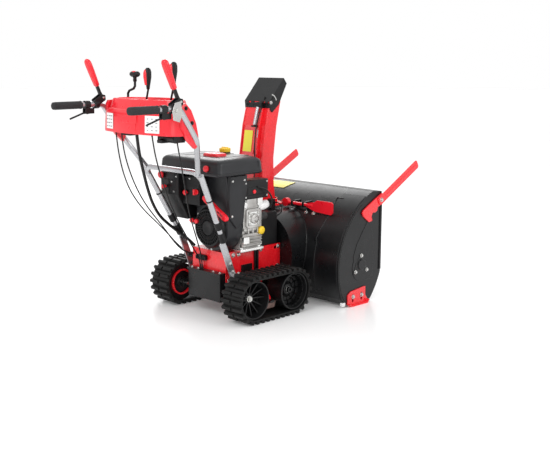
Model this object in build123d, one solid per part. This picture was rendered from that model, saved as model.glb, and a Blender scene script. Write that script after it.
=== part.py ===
from build123d import *
import math
import os

# Two stage snowblower on rubber tracks.  Millimetres, +Y forward, +X to the operator's right, +Z up,
# with the ground at z = 0.  Lengths along the machine are given as a distance "back" from the front
# edge of the bucket, and y_at() turns them into Y.

# ---- overall sizes -------------------------------------------------------------------------------
bucket_width = 800
bucket_top = 546
bucket_floor = 12
grip_reach = 1447          # from the bucket's front edge back to the end of the grips
running_gap = 0.3          # between faces of pieces that move past each other
shaft_gap = 0.05           # radial clearance of a shaft in its bore

# ---- bucket --------------------------------------------------------------------------------------
sheet = 3
side_sheet = 4
lip_back = 76              # front edge of the bucket floor
scraper_thickness = 6
scraper_height = 34
auger_back = 155
auger_z = 195
auger_radius = 150
auger_shaft_radius = 16
flight_tube_radius = 23
flight_width = 54
flight_thickness = 5
flight_turns = 1.25
gearbox_half_width = 44
gearbox_radius = 47
worm_offset = 50           # impeller shaft above the auger shaft

# ---- impeller and its housing --------------------------------------------------------------------
housing_radius = 195
housing_back = 425
impeller_clearance = 8
impeller_front_gap = 8
impeller_blades = 4
blade_thickness = 6
impeller_hub_radius = 24
impeller_shaft_radius = 12
boss_length = 12

# ---- chute and deflector -------------------------------------------------------------------------
chute_x = -85
chute_back = 352
neck_radius = 70
neck_top = 462
neck_flange = 18
chute_ring_radius = 100
chute_ring_height = 8
chute_half_width = 80
chute_sheet = 3
chute_rear = [(75, 470.3), (75, 700), (52, 856), (19, 977)]      # (behind the chute axis, height)
chute_front = [(-50, 977), (-22, 856), (-2, 700), (-6, 560), (-20, 470.3)]
deflector_length = 150
deflector_lean = 42        # degrees forward of upright
deflector_side = 62
hinge_radius = 5

# ---- tracks --------------------------------------------------------------------------------------
axle_z = 111
rear_axle_back = 781
front_axle_back = 523
track_inner_x = 191
track_width = 123
wheel_radius = 89.7
belt_thickness = 8
lug_height = 13
lug_length = 17
lug_count = 34
axle_radius = 10
wheel_width = 104
wheel_face_x = 244         # outer face of a wheel's disc, sunk behind its rim
wheel_web = 8
hub_end_x = 262
cap_radius = 14
cap_end_x = 276
rail_x = 168
rail_thickness = 8

# ---- frame ---------------------------------------------------------------------------------------
frame_half_width = 115
frame_top = 300
frame_floor = 168
frame_rear = 788
deck_front = 585
plate = 3
rear_plate_back = 785
cover_top = 205
cover_bottom = 70
cover_rear = 822

# ---- drive ---------------------------------------------------------------------------------------
crank_x = 45
crank_z = 416
crank_radius = 13
pulley_front = 472
pulley_width = 24
impeller_pulley_radius = 71
engine_pulley_radius = 38
belt_depth = 9
belt_width = 20

# ---- engine --------------------------------------------------------------------------------------
engine_front = 590
engine_rear = 728
fan_radius = 114
fan_rear = 812
recoil_radius = 94
recoil_rear = 840
tank_left = -210
tank_right = 200
tank_front = 625
tank_rear = 910
tank_bottom = 667
tank_top = 746

# ---- handles and console -------------------------------------------------------------------------
tube_radius = 12.5
tube_wall = 2
grip_radius = 16.5
grip_length = 147
grip_x = 265
grip_z = 984
strap_x = 138
strap_thickness = 6
handle_foot = (148, 832, 362)         # (x, back, height) of the lower handle's right foot
handle_corner = (190, 1011, 698)
handle_bend = 46
console_half_width = 246
console_front = 1010         # of the middle of its front edge
console_front_corner = 1050
console_rear_corner = 1160
console_rear = 1232
console_bottom = 868
console_top = 1000
tray_z = 982
console_wall = 4
lever_pivot_back = 1190
lever_pivot_z = 1013
lever_length = 180
lever_angle = 66           # degrees above the grip at rest
trigger_back = 1272
trigger_z = 953
trigger_length = 92
trigger_droop = 18

# ---- small moving pieces -------------------------------------------------------------------------
cutter_pivot_back = 20
cutter_pivot_z = 500
cutter_angle = 28
cutter_length = 333
cutter_width = 44
cutter_corner = 12
cutter_thickness = 5
bracket_thickness = 9
skid_front = 108
skid_rear = 255
skid_height = 83
skid_thickness = 5
skid_bolt_z = 44
skid_travel_up = 20
skid_travel_down = 8
slot_width = 12
bolt_shank = 5
bolt_head = 8

tool_back = 240
tool_z = 466
tool_rod = 8

# ---- engine controls -----------------------------------------------------------------------------
cap_x = -14                # fuel cap
cap_back = 670
cap_neck = 20
cap_height = 22
box_rear = 900             # carburettor cover
box_right = -88
panel_rear = 868           # ignition panel
panel_right = 26
choke_x, choke_z = -196, 648
throttle_x, throttle_z = -168, 596
primer_x, primer_z = -64, 574
primer_travel = 6
key_x, key_z = 9, 583
starter_x = 170
starter_front = 565
starter_rear = 724
starter_bottom = 545
starter_top = 634
starter_button_back = 660
starter_button_z = 580
oil_back = 608
oil_z = 393

# ---- console controls ----------------------------------------------------------------------------
crank_rod = 5
chute_crank_x = -214
chute_crank_back = 1080
speed_x = -58
speed_back = 1100
tilt_x = 88
tilt_back = 1084
lever_axis_z = 906

# The origin is midway between the grip ends and the tips of the drift cutters.
cutter_reach = (-cutter_pivot_back + (cutter_length - cutter_corner) * math.cos(math.radians(cutter_angle))
                + (cutter_width / 2 - cutter_corner) * math.sin(math.radians(cutter_angle)) + cutter_corner)
front_y = (grip_reach - cutter_reach) / 2
half_width = bucket_width / 2
housing_z = auger_z + worm_offset
rear_face = frame_half_width - plate


# ---- helpers -------------------------------------------------------------------------------------
def y_at(back):
    return front_y - back


def at(x, back, z):
    return (x, y_at(back), z)


def block(x_low, x_high, back_low, back_high, z_low, z_high):
    size = Box(x_high - x_low, back_high - back_low, z_high - z_low)
    return Pos((x_low + x_high) / 2, y_at((back_low + back_high) / 2), (z_low + z_high) / 2) * size


def rod_x(radius, x_low, x_high, back, z):
    rod = Cylinder(radius, x_high - x_low, align=(Align.CENTER, Align.CENTER, Align.MIN))
    return Pos(x_low, y_at(back), z) * Rot(0, 90, 0) * rod


def rod_y(radius, back_low, back_high, x, z):
    rod = Cylinder(radius, back_high - back_low, align=(Align.CENTER, Align.CENTER, Align.MIN))
    return Pos(x, y_at(back_high), z) * Rot(-90, 0, 0) * rod


def rod_z(radius, z_low, z_high, x, back):
    rod = Cylinder(radius, z_high - z_low, align=(Align.CENTER, Align.CENTER, Align.MIN))
    return Pos(x, y_at(back), z_low) * rod


def rod_between(start, end, radius):
    axis = Vector(*end) - Vector(*start)
    rod = Cylinder(radius, axis.length, align=(Align.CENTER, Align.CENTER, Align.MIN))
    return Plane(origin=start, z_dir=axis).location * rod


def side_plate_of(face, x_low, x_high):
    """Extrudes a face drawn in (Y, Z) across the machine."""
    return Pos(x_low, 0, 0) * extrude(Plane.YZ * face, x_high - x_low, dir=(1, 0, 0))


def side_outline(points):
    return make_face(Polyline(*[(y_at(back), z) for back, z in points], close=True))


def profile_x(points, x_low, x_high):
    """A plate whose outline is given as (back, z) points."""
    return side_plate_of(side_outline(points), x_low, x_high)


def profile_y(points, back_low, back_high):
    """A plate whose outline is given as (x, z) points, seen from the front or back."""
    face = make_face(Polyline(*[(x, z) for x, z in points], close=True))
    return Pos(0, y_at(back_low), 0) * extrude(Plane.XZ * face, back_high - back_low, dir=(0, -1, 0))


def profile_z(points, z_low, z_high):
    """A plate whose outline is given as (x, back) points, seen from above."""
    face = make_face(Polyline(*[(x, y_at(back)) for x, back in points], close=True))
    return Pos(0, 0, z_low) * extrude(face, z_high - z_low, dir=(0, 0, 1))


def mirrored(shape):
    return mirror(shape, about=Plane.YZ)


def bent_tube(points, radii, outer, inner=0):
    path = FilletPolyline(*[at(*point) for point in points], radius=radii)
    section = Circle(outer) - Circle(inner) if inner else Circle(outer)
    return sweep(Plane(origin=path @ 0, z_dir=path % 0) * section, path=path)


def cable(name, points, radius):
    """A cable of straight runs and arcs, each arc as large as its two runs allow."""
    places = [Vector(*at(*point)) for point in points]
    radii = []
    for before, here, after in zip(places, places[1:], places[2:]):
        turn = math.radians((here - before).get_angle(after - here))
        shorter = min((here - before).length, (after - here).length)
        radii.append(0.45 * shorter / math.tan(turn / 2))
    print(name, "bend radii", [round(bend) for bend in radii])
    path = FilletPolyline(*places, radius=radii)
    return sweep(Plane(origin=path @ 0, z_dir=path % 0) * Circle(radius), path=path)


def turned_x(shape, back, z, degrees):
    """Turns a shape about a line along X; positive tips its front up."""
    centre = Pos(0, y_at(back), z)
    return centre * Rot(degrees, 0, 0) * centre.inverse() * shape


def save(name, *pieces):
    """Writes one node, as one solid or as a group of separate solids."""
    solids = [solid for piece in pieces for solid in piece.solids()]
    export_step(solids[0] if len(solids) == 1 else Compound(children=solids), f"parts/{name}.step")


# ---- bucket --------------------------------------------------------------------------------------
def bucket_outline():
    """Side view of the bucket: flat top, two arcs down the back, floor and a rounded toe."""
    corners = [(0, bucket_top - 6), (70, bucket_top), (213, bucket_top - 91), (310, bucket_top - 242),
               (296, bucket_floor + 30), (270, bucket_floor), (lip_back, bucket_floor), (24, 85), (0, 137)]
    points = [(y_at(back), z) for back, z in corners]
    shoulder = ThreePointArc(points[1], points[2], points[3])
    heel = TangentArc(points[3], points[4], tangent=shoulder % 1)
    edges = [Line(points[0], points[1]), shoulder, heel, Line(points[4], points[5]),
             Line(points[5], points[6]), ThreePointArc(points[6], points[7], points[8]),
             Line(points[8], points[0])]
    return make_face(edges)


def bucket_body(inset=0, x_half=half_width):
    face = bucket_outline()
    if inset:
        face = offset(face, amount=-inset, kind=Kind.INTERSECTION)
    return side_plate_of(face, -x_half, x_half)


def bucket_barrel():
    inside = half_width - side_sheet
    shell = bucket_body(0, inside) - bucket_body(sheet, inside + 1)
    shell -= block(-half_width, half_width, -40, lip_back, -5, bucket_top - 6 - 2 * sheet)
    shell -= rod_y(housing_radius - sheet, 180, housing_back, 0, housing_z)
    keep = max(shell.solids(), key=lambda solid: solid.volume)
    return keep


def side_plate():
    plate_solid = side_plate_of(bucket_outline(), half_width - side_sheet, half_width)
    plate_solid -= rod_x(auger_shaft_radius + shaft_gap, 0, half_width + 1, auger_back, auger_z)
    return plate_solid


def impeller_housing():
    inner = housing_radius - sheet
    drum = rod_y(housing_radius, 180, housing_back, 0, housing_z)
    neck = rod_z(neck_radius, housing_z, neck_top, chute_x, chute_back)
    flange = rod_z(neck_radius + neck_flange, neck_top - 4, neck_top, chute_x, chute_back)
    boss = rod_y(30, housing_back, housing_back + boss_length, 0, housing_z)
    solid = drum + neck + flange + boss
    solid -= rod_y(inner, 170, housing_back - sheet, 0, housing_z)
    solid -= rod_z(neck_radius - sheet, housing_z, neck_top + 1, chute_x, chute_back)
    solid -= rod_y(impeller_shaft_radius + shaft_gap, 300, 600, 0, housing_z)
    solid -= bucket_body(0, half_width)
    return max(solid.solids(), key=lambda piece: piece.volume)


def scraper_bar():
    inside = half_width - side_sheet
    return block(-inside, inside, lip_back - scraper_thickness, lip_back,
                 bucket_floor - 4, bucket_floor - 4 + scraper_height)


def bearing_flange():
    """Auger bearing outside the side plate, with three bolts through its flange."""
    start = half_width
    flange = profile_x([(155, 252), (116, 205), (96, 152), (214, 152), (194, 205)], start, start + 4)
    flange += rod_x(26, start, start + 10, auger_back, auger_z)
    flange -= rod_x(auger_shaft_radius + shaft_gap, start - 1, start + 6, auger_back, auger_z)
    return flange


def hex_bolt_x(x, back, z, direction):
    """Hexagon head standing on a face that looks along X."""
    head = extrude(RegularPolygon(bolt_head, 6), 5) + Cylinder(
        bolt_head + 3, 1.5, align=(Align.CENTER, Align.CENTER, Align.MIN))
    return Pos(x, y_at(back), z) * Rot(0, 90 * direction, 0) * head


def gearbox():
    case = rod_x(gearbox_radius, -gearbox_half_width, gearbox_half_width, auger_back, auger_z)
    case += rod_y(34, 92, 224, 0, housing_z)
    case += block(-26, 26, 118, 192, auger_z, housing_z)
    case -= rod_x(auger_shaft_radius + shaft_gap, -100, 100, auger_back, auger_z)
    case -= rod_y(impeller_shaft_radius + shaft_gap, 205, 230, 0, housing_z)
    return case


def auger_shaft():
    return rod_x(auger_shaft_radius, -half_width - 5, half_width + 5, auger_back, auger_z)


def auger_flight():
    """Right-hand side auger: a tube on the shaft with two ribbons held by arms."""
    start = gearbox_half_width + 8
    end = half_width - side_sheet - 10
    tube = rod_x(flight_tube_radius, start, end, auger_back, auger_z)
    length = end - start - 60
    pitch = length / flight_turns
    middle = auger_radius - flight_width / 2
    coil = Helix(pitch=pitch, height=length, radius=middle, direction=(1, 0, 0))
    start_plane = Plane(origin=coil @ 0, x_dir=(0, 0, 1), z_dir=coil % 0)
    section = start_plane * Rectangle(flight_width, flight_thickness)
    ribbon = sweep(section, path=coil, is_frenet=True)
    arm_reach = middle - 6
    flight = tube
    for half_turn in (0, 180):
        turn = Pos(start + 30, y_at(auger_back), auger_z) * Rot(half_turn, 0, 0)
        flight += turn * ribbon
        for share in (0.04, 0.5, 0.96):
            angle = 360 * flight_turns * share
            arm = Cylinder(7, arm_reach, align=(Align.CENTER, Align.CENTER, Align.MIN))
            flight += turn * Pos(length * share, 0, 0) * Rot(angle, 0, 0) * arm
    flight -= rod_x(auger_shaft_radius, 0, half_width, auger_back, auger_z)
    return flight


def impeller():
    tip = housing_radius - sheet - impeller_clearance
    front = auger_back + auger_radius + impeller_front_gap
    rear = housing_back - sheet - 10
    wheel = rod_y(impeller_hub_radius, front, rear, 0, housing_z)
    for number in range(impeller_blades):
        blade = Pos(tip / 2 + 5, 0, 0) * Box(tip - 10, rear - front, blade_thickness)
        lip = Pos(tip - 3, 0, 9) * Box(6, rear - front, 24)
        spot = Pos(0, y_at((front + rear) / 2), housing_z)
        wheel += spot * Rot(0, 45 + 360 / impeller_blades * number, 0) * (blade + lip)
    return wheel - rod_y(impeller_shaft_radius, front - 1, rear + 1, 0, housing_z)


def pulley(radius, x, z):
    """Pulley with one groove for the belt, on the pulley line of the drive."""
    wheel = rod_y(radius, pulley_front, pulley_front + pulley_width, x, z)
    groove_side = (pulley_width - belt_width) / 2 - running_gap
    groove = rod_y(radius + 1, pulley_front + groove_side, pulley_front + pulley_width - groove_side, x, z)
    return wheel - (groove - rod_y(radius - belt_depth, pulley_front, pulley_front + pulley_width, x, z))


def impeller_shaft():
    shaft = rod_y(impeller_shaft_radius, 208, pulley_front + pulley_width + 8, 0, housing_z)
    return shaft + pulley(impeller_pulley_radius, 0, housing_z)


def cutter_bracket():
    """Notched bracket that carries a drift cutter outside the side plate."""
    start = half_width
    return profile_x([(150, 432), (160, 448), (150, 462), (60, 508), (6, 532), (-4, 510), (10, 486), (24, 470),
                      (40, 466), (44, 448), (62, 440), (78, 444), (88, 424), (80, 404), (104, 398), (124, 412)],
                     start, start + bracket_thickness)


def drift_cutter():
    """Flat bar with a rounded end, turned about its bolt in the bracket."""
    start = half_width + bracket_thickness + running_gap
    bar = Pos(cutter_length / 2 - 10, 0) * Rectangle(cutter_length + 20, cutter_width)
    bar = fillet(bar.vertices(), cutter_corner) - Circle(bolt_shank + shaft_gap)
    rib = Pos(cutter_length / 2 + 10, 0) * SlotCenterToCenter(cutter_length - 70, 10)
    solid = extrude(bar, cutter_thickness) + Pos(0, 0, cutter_thickness) * extrude(rib, 3)
    pivot = Pos(start, y_at(cutter_pivot_back), cutter_pivot_z)
    return pivot * Rot(cutter_angle, 0, 0) * Plane.YZ.location * solid


def cutter_bolt():
    """Pivot bolt of a drift cutter, standing on the bracket."""
    start = half_width + bracket_thickness
    spot_end = start + cutter_thickness + 2 * running_gap
    shank = rod_x(bolt_shank, start, spot_end, cutter_pivot_back, cutter_pivot_z)
    return shank + hex_bolt_x(spot_end, cutter_pivot_back, cutter_pivot_z, 1)


def tool_clip(x):
    """Open clip on the back of the bucket that holds the clean-out tool."""
    clip = block(x - 7, x + 7, 180, tool_back + 12, tool_z - 14, tool_z + 14)
    loose = tool_rod + running_gap
    clip -= block(x - 8, x + 8, tool_back - loose, tool_back + loose, tool_z, tool_z + 20)
    clip -= rod_x(tool_rod + running_gap, x - 8, x + 8, tool_back, tool_z)
    return clip - bucket_body()


def chute_bracket():
    """Red bracket on the impeller housing that ends the chute control cable."""
    post = block(24, 52, 394, 420, 400, 506) + block(10, 52, 394, 398, 474, 506)
    return post - rod_y(housing_radius, 300, 500, 0, housing_z)


def cleanout_tool():
    """Snow clearing paddle on a rod, lying across the back of the bucket."""
    rod = rod_x(tool_rod, -44, 160, tool_back, tool_z)
    knob = rod_y(21, tool_back - tool_rod - 3, tool_back + tool_rod + 3, -16, tool_z)
    blade = profile_y([(120, tool_z - 8), (176, tool_z - 27), (280, tool_z - 33), (290, tool_z - 22),
                       (290, tool_z + 22), (280, tool_z + 30), (190, tool_z + 30), (176, tool_z + 20),
                       (120, tool_z + 8)], tool_back - 4, tool_back + 4)
    return rod + knob + blade


def skid_shoe():
    """Height-adjustable runner with two upright slots and an outward foot."""
    start = half_width + running_gap
    outline = [(skid_front + 8, 0), (skid_front - 6, 16), (skid_front + 12, 40), (skid_front + 12, skid_height),
               (skid_front + 22, skid_height), (skid_rear - 22, skid_height - 10), (skid_rear, skid_height - 26),
               (skid_rear, 12), (skid_rear - 14, 0)]
    shoe = profile_x(outline, start, start + skid_thickness)
    foot = profile_x([(skid_front + 8, 0), (skid_front - 6, 16), (skid_front - 2, 18), (skid_front + 11, 5),
                      (skid_rear - 16, 5), (skid_rear - 4, 16), (skid_rear, 12), (skid_rear - 14, 0)],
                     start, start + 20)
    shoe += foot
    for back in skid_bolt_backs():
        low = skid_bolt_z - skid_travel_up
        high = skid_bolt_z + skid_travel_down
        slot = block(0, start + 30, back - slot_width / 2, back + slot_width / 2, low, high)
        slot += rod_x(slot_width / 2, 0, start + 30, back, low)
        slot += rod_x(slot_width / 2, 0, start + 30, back, high)
        shoe -= slot
    return shoe


def skid_bolt_backs():
    return [skid_front + 42, skid_rear - 40]


def skid_bolt(back):
    head_at = half_width + skid_thickness + 2 * running_gap
    return (rod_x(bolt_shank, half_width, head_at, back, skid_bolt_z)
            + hex_bolt_x(head_at, back, skid_bolt_z, 1))


# ---- chute ---------------------------------------------------------------------------------------
def chute_point(behind, z):
    return (chute_back + behind, z)


def chute():
    """Snow chute: ring on the neck, flat back and two sides, open to the front."""
    bottom = neck_top + running_gap
    ring = rod_z(chute_ring_radius, bottom, bottom + chute_ring_height, chute_x, chute_back)
    for number in range(36):
        spot = Pos(chute_x, y_at(chute_back), bottom + chute_ring_height / 2) * Rot(0, 0, 10 * number)
        ring += spot * Pos(chute_ring_radius, 0, 0) * Box(8, 7, chute_ring_height)
    ring -= rod_z(neck_radius - sheet, bottom - 1, bottom + 20, chute_x, chute_back)
    outline = [chute_point(*point) for point in chute_rear + chute_front]
    wall = profile_x(outline, 0, chute_sheet)
    left = Pos(chute_x - chute_half_width, 0, 0) * wall
    right = Pos(chute_x + chute_half_width - chute_sheet, 0, 0) * wall
    inner_edge = [chute_point(behind - chute_sheet, z) for behind, z in reversed(chute_rear)]
    back = profile_x([chute_point(*point) for point in chute_rear] + inner_edge,
                     chute_x - chute_half_width, chute_x + chute_half_width)
    lip_edge = [chute_point(behind + chute_sheet, z) for behind, z in reversed(chute_front[:-1])]
    lip = profile_x([chute_point(*point) for point in chute_front[:-1]] + lip_edge, 0, 16)
    left_lip = Pos(chute_x - chute_half_width, 0, 0) * lip
    right_lip = Pos(chute_x + chute_half_width - 16, 0, 0) * lip
    base = (rod_z(chute_half_width, bottom + 2, bottom + 30, chute_x, chute_back)
            - rod_z(chute_half_width - chute_sheet, bottom, bottom + 32, chute_x, chute_back))
    guide = chute_guide()
    body = ring + base + left + right + back + left_lip + right_lip + guide
    return body - hinge_pin_space() + hinge_pin()


def chute_guide():
    """Channel for the deflector cable on the back of the chute."""
    x_low = chute_x + 30
    rear = [chute_point(behind, z) for behind, z in chute_rear[1:]]
    outer = [chute_point(behind + 14, z) for behind, z in reversed(chute_rear[1:])]
    channel = profile_x(rear + outer, x_low, x_low + 22)
    top_back, top_z = chute_point(*chute_rear[-1])
    return channel - block(x_low - 1, x_low + 23, 0, 600, top_z - 34, top_z + 1)


def hinge_point():
    behind, z = chute_rear[-1]
    return chute_back + behind + 8, z - 6


def hinge_pin_space():
    back, z = hinge_point()
    return rod_x(hinge_radius + 4 + 2 * running_gap, chute_x - 120, chute_x + 120, back, z)


def hinge_pin():
    """Pin across the top of the chute on which the deflector turns, in two welded ears."""
    back, z = hinge_point()
    pin = rod_x(hinge_radius, chute_x - chute_half_width - 4, chute_x + chute_half_width + 4, back, z)
    ears = []
    for x in (chute_x - 52, chute_x + 44):
        ears.append(block(x, x + 8, back - 8 - chute_sheet, back, z - 18, z + 4))
    return pin + ears[0] + ears[1]


def deflector():
    """Hood on top of the chute: a leaning back plate, two cheeks and hinge knuckles."""
    back, z = hinge_point()
    outer = chute_half_width + 6
    cheek = chute_x + chute_half_width + running_gap
    lean = math.radians(deflector_lean)
    tip = (back - deflector_length * math.sin(lean), z + deflector_length * math.cos(lean))
    normal = (math.cos(lean) * chute_sheet, math.sin(lean) * chute_sheet)
    rear_top = (tip[0] + normal[0] * 3, tip[1] + normal[1] * 3)
    rear_low = (back + normal[0] * 3, z + normal[1] * 3)
    front_face = [(back + normal[0] * 2, z + normal[1] * 2), (tip[0] + normal[0] * 2, tip[1] + normal[1] * 2)]
    roof = profile_x(front_face + [rear_top, rear_low], chute_x - outer, chute_x + outer)
    front_top = (tip[0] - deflector_side * 0.35, tip[1] - 28)
    front_low = (back - deflector_side - 18, z - 30)
    side = profile_x([rear_low, rear_top, front_top, front_low, (back - 30, z - 62), (back - 4, z - 40)],
                     cheek, chute_x + outer)
    hood = roof + side + Pos(2 * chute_x, 0, 0) * mirrored(side)
    for x in (chute_x - 76, chute_x - 40, chute_x + 16, chute_x + 56):
        knuckle = rod_x(hinge_radius + 4, x, x + 20, back, z)
        knuckle += profile_x([(back + 2, z + 4), (back - 3, z + 4), (back - 1, z + 11.5), rear_low], x, x + 20)
        hood += knuckle
    return hood - rod_x(hinge_radius + shaft_gap, chute_x - 120, chute_x + 120, back, z)


# ---- tracks --------------------------------------------------------------------------------------
def track_belt():
    """Rubber belt as a stadium loop with cross bars, drawn from the side and extruded."""
    span = rear_axle_back - front_axle_back
    inner = wheel_radius + running_gap
    outer = inner + belt_thickness
    loop = SlotCenterToCenter(span, 2 * outer) - SlotCenterToCenter(span, 2 * inner)
    path_length = 2 * span + 2 * math.pi * outer
    for number in range(lug_count):
        along = path_length * (number + 0.5) / lug_count
        x, z, angle = track_point(along, span, outer)
        loop += Pos(x, z) * Rot(0, 0, angle) * Pos(0, (lug_height - 1) / 2) * Trapezoid(
            lug_length + 4, lug_height + 1, 76)
    middle = (rear_axle_back + front_axle_back) / 2
    loop = Pos(y_at(middle), axle_z) * loop
    return side_plate_of(loop, track_inner_x, track_inner_x + track_width)


def track_point(along, span, radius):
    """Place and turn of a bar at a distance along the loop, starting at the top rear."""
    arc = math.pi * radius
    if along < span:
        return along - span / 2, radius, 0
    along -= span
    if along < arc:
        turn = along / radius
        return span / 2 + radius * math.sin(turn), radius * math.cos(turn), -math.degrees(turn)
    along -= arc
    if along < span:
        return span / 2 - along, -radius, 180
    turn = (along - span) / radius
    return -span / 2 - radius * math.sin(turn), -radius * math.cos(turn), 180 - math.degrees(turn)


def wheel_x():
    low = track_inner_x + (track_width - wheel_width) / 2
    return low, low + wheel_width


def front_wheel():
    """Solid drum wheel that carries the front of the track, turning on its stub axle."""
    low, high = wheel_x()
    wheel = rod_x(wheel_radius, low, high, front_axle_back, axle_z)
    wheel -= rod_x(wheel_radius - 9, wheel_face_x, high + 1, front_axle_back, axle_z)
    wheel -= rod_x(wheel_radius - 7, low - 1, wheel_face_x - wheel_web, front_axle_back, axle_z)
    wheel += rod_x(24, low, hub_end_x, front_axle_back, axle_z)
    return wheel - rod_x(axle_radius + shaft_gap, low - 1, high + 1, front_axle_back, axle_z)


def rear_wheel():
    """Drive wheel with spokes, on its half shaft."""
    low, high = wheel_x()
    wheel = rod_x(wheel_radius, low, high, rear_axle_back, axle_z)
    hollow = rod_x(wheel_radius - 12, low - 1, high + 1, rear_axle_back, axle_z)
    wheel -= hollow - rod_x(wheel_radius - 11, wheel_face_x - wheel_web, wheel_face_x, rear_axle_back, axle_z)
    hub = rod_x(26, low, hub_end_x, rear_axle_back, axle_z)
    for number in range(10):
        fin = block(low + 6, wheel_face_x + 16, rear_axle_back - 3, rear_axle_back + 3,
                    axle_z + 20, axle_z + wheel_radius - 10)
        wheel += turned_x(fin, rear_axle_back, axle_z, 36 * number)
    for number in range(5):
        window = rod_x(15, low, high, rear_axle_back, axle_z + 54)
        wheel -= turned_x(window, rear_axle_back, axle_z, 72 * number + 18)
    shaft = rod_x(axle_radius, 12, hub_end_x, rear_axle_back, axle_z)
    cap = rod_x(cap_radius, hub_end_x, cap_end_x, rear_axle_back, axle_z)
    return wheel + hub + shaft + cap


def track_frame():
    """Rail between the wheels with the front stub axle, its end cap and the bracket to the frame."""
    low, high = wheel_x()
    rail = profile_x([(front_axle_back - 24, axle_z - 20), (front_axle_back - 24, axle_z + 20),
                      (600, axle_z + 46), (700, axle_z + 46), (rear_axle_back + 22, axle_z + 20),
                      (rear_axle_back + 22, axle_z - 20), (720, axle_z - 34), (580, axle_z - 34)],
                     rail_x, rail_x + rail_thickness)
    rail -= rod_x(axle_radius + shaft_gap, 0, 400, rear_axle_back, axle_z)
    stub = rod_x(axle_radius, rail_x, hub_end_x + 1, front_axle_back, axle_z)
    stub += rod_x(cap_radius, hub_end_x + running_gap, cap_end_x, front_axle_back, axle_z)
    stub += rod_x(20, rail_x, low - running_gap, front_axle_back, axle_z)
    bracket = block(frame_half_width, rail_x + 1, 620, 690, 130, 136)
    bracket += block(frame_half_width, frame_half_width + 5, 620, 690, 130, 230)
    bracket += block(rail_x - 4, rail_x + 1, 620, 690, 100, 136)
    bridge = block(rail_x, track_inner_x + track_width - 30, 640, 664, 74, 84)
    return rail + stub + bracket + bridge


# ---- frame ---------------------------------------------------------------------------------------
def chassis():
    """Folded sheet frame: two sides, floor, engine deck and rear plate."""
    outline = [(housing_back, frame_floor), (housing_back, frame_top), (frame_rear, frame_top),
               (frame_rear, 150), (742, 146), (715, frame_floor)]
    side = profile_x(outline, frame_half_width - plate, frame_half_width)
    side -= rod_x(8, 0, 200, 458, 282)
    frame = side + mirrored(side)
    frame += block(-rear_face, rear_face, 520, 712, frame_floor, frame_floor + plate)
    frame += block(-rear_face, rear_face, housing_back, 452, frame_floor, frame_floor + plate)
    frame += block(-rear_face, rear_face, deck_front, frame_rear, frame_top - plate, frame_top)
    frame += block(-rear_face, rear_face, rear_plate_back, rear_plate_back + plate, cover_top, frame_top)
    return frame


def rear_cover():
    """Black housing round the half shafts, with a ledge on top."""
    side = rear_face - running_gap
    cover = block(-side, side, 718, cover_rear, cover_bottom, cover_top)
    cover -= block(-side + plate, side - plate, 718 + plate, cover_rear - plate,
                   cover_bottom + plate, cover_top - plate)
    for x in (-side, side - plate):
        cover -= rod_x(axle_radius + shaft_gap, x - 1, x + plate + 1, rear_axle_back, axle_z)
    return cover


def belt_cover():
    """Cover over the belts between engine and bucket."""
    low, high = -88, 108
    cover = block(low, high, 440, engine_front - 2, frame_top, 458)
    cover -= block(low + plate, high - plate, 440 + plate, engine_front - 2 - plate, frame_top - 1, 458 - plate)
    cover -= rod_y(crank_radius + 8, 560, 620, crank_x, crank_z)
    return cover


def drive_belt():
    """Belt round the engine and impeller pulleys."""
    groove = running_gap
    low = pulley_front + (pulley_width - belt_width) / 2
    ends = []
    for x, z, radius in ((0, housing_z, impeller_pulley_radius), (crank_x, crank_z, engine_pulley_radius)):
        ends.append((x, z, radius - belt_depth + groove))
    return loop_round(ends, 7, low, low + belt_width)


def loop_round(ends, thickness, back_low, back_high):
    """Closed loop pulled tight round two pulleys."""
    outer = hull_face([(x, z, radius + thickness) for x, z, radius in ends])
    inner = hull_face(ends)
    face = outer - inner
    return Pos(0, y_at(back_low), 0) * extrude(Plane.XZ * face, back_high - back_low, dir=(0, -1, 0))


def hull_face(ends):
    (x1, z1, r1), (x2, z2, r2) = ends
    distance = math.hypot(x2 - x1, z2 - z1)
    heading = math.atan2(z2 - z1, x2 - x1)
    spread = math.acos((r1 - r2) / distance)
    corners = []
    for x, z, radius, side in ((x1, z1, r1, 1), (x2, z2, r2, 1), (x2, z2, r2, -1), (x1, z1, r1, -1)):
        angle = heading + side * spread
        corners.append((x + radius * math.cos(angle), z + radius * math.sin(angle)))
    far = [(x1 - r1 * math.cos(heading), z1 - r1 * math.sin(heading)),
           (x2 + r2 * math.cos(heading), z2 + r2 * math.sin(heading))]
    return make_face([Line(corners[0], corners[1]), ThreePointArc(corners[1], far[1], corners[2]),
                      Line(corners[2], corners[3]), ThreePointArc(corners[3], far[0], corners[0])])


# ---- engine --------------------------------------------------------------------------------------
def engine_block():
    """Crankcase with its base flange, and the cylinder on the left side."""
    case = profile_y([(-70, frame_top), (150, frame_top), (150, 318), (142, 326), (150, 350), (150, 520),
                      (112, 560), (-40, 560), (-70, 530)], engine_front, engine_rear)
    cylinder = block(-205, -69, 606, 716, 392, 524)
    for number in range(6):
        x = -190 + 20 * number
        cylinder -= block(x, x + 9, 600, 720, 512, 530)
        cylinder -= block(x, x + 9, 600, 720, 390, 404)
    return case + cylinder - rod_y(crank_radius + shaft_gap, 500, 800, crank_x, crank_z)


def muffler():
    can = fillet(block(-206, -76, 604, 722, 540, 640).edges().filter_by(Axis.Y), 24)
    can -= fillet(block(-203, -79, 607, 719, 543, 637).edges().filter_by(Axis.Y), 21)
    outlet = rod_y(14, 580, 607, -140, 600) - rod_y(11, 579, 608, -140, 600)
    return can + outlet - rod_y(11, 600, 610, -140, 600)


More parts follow.
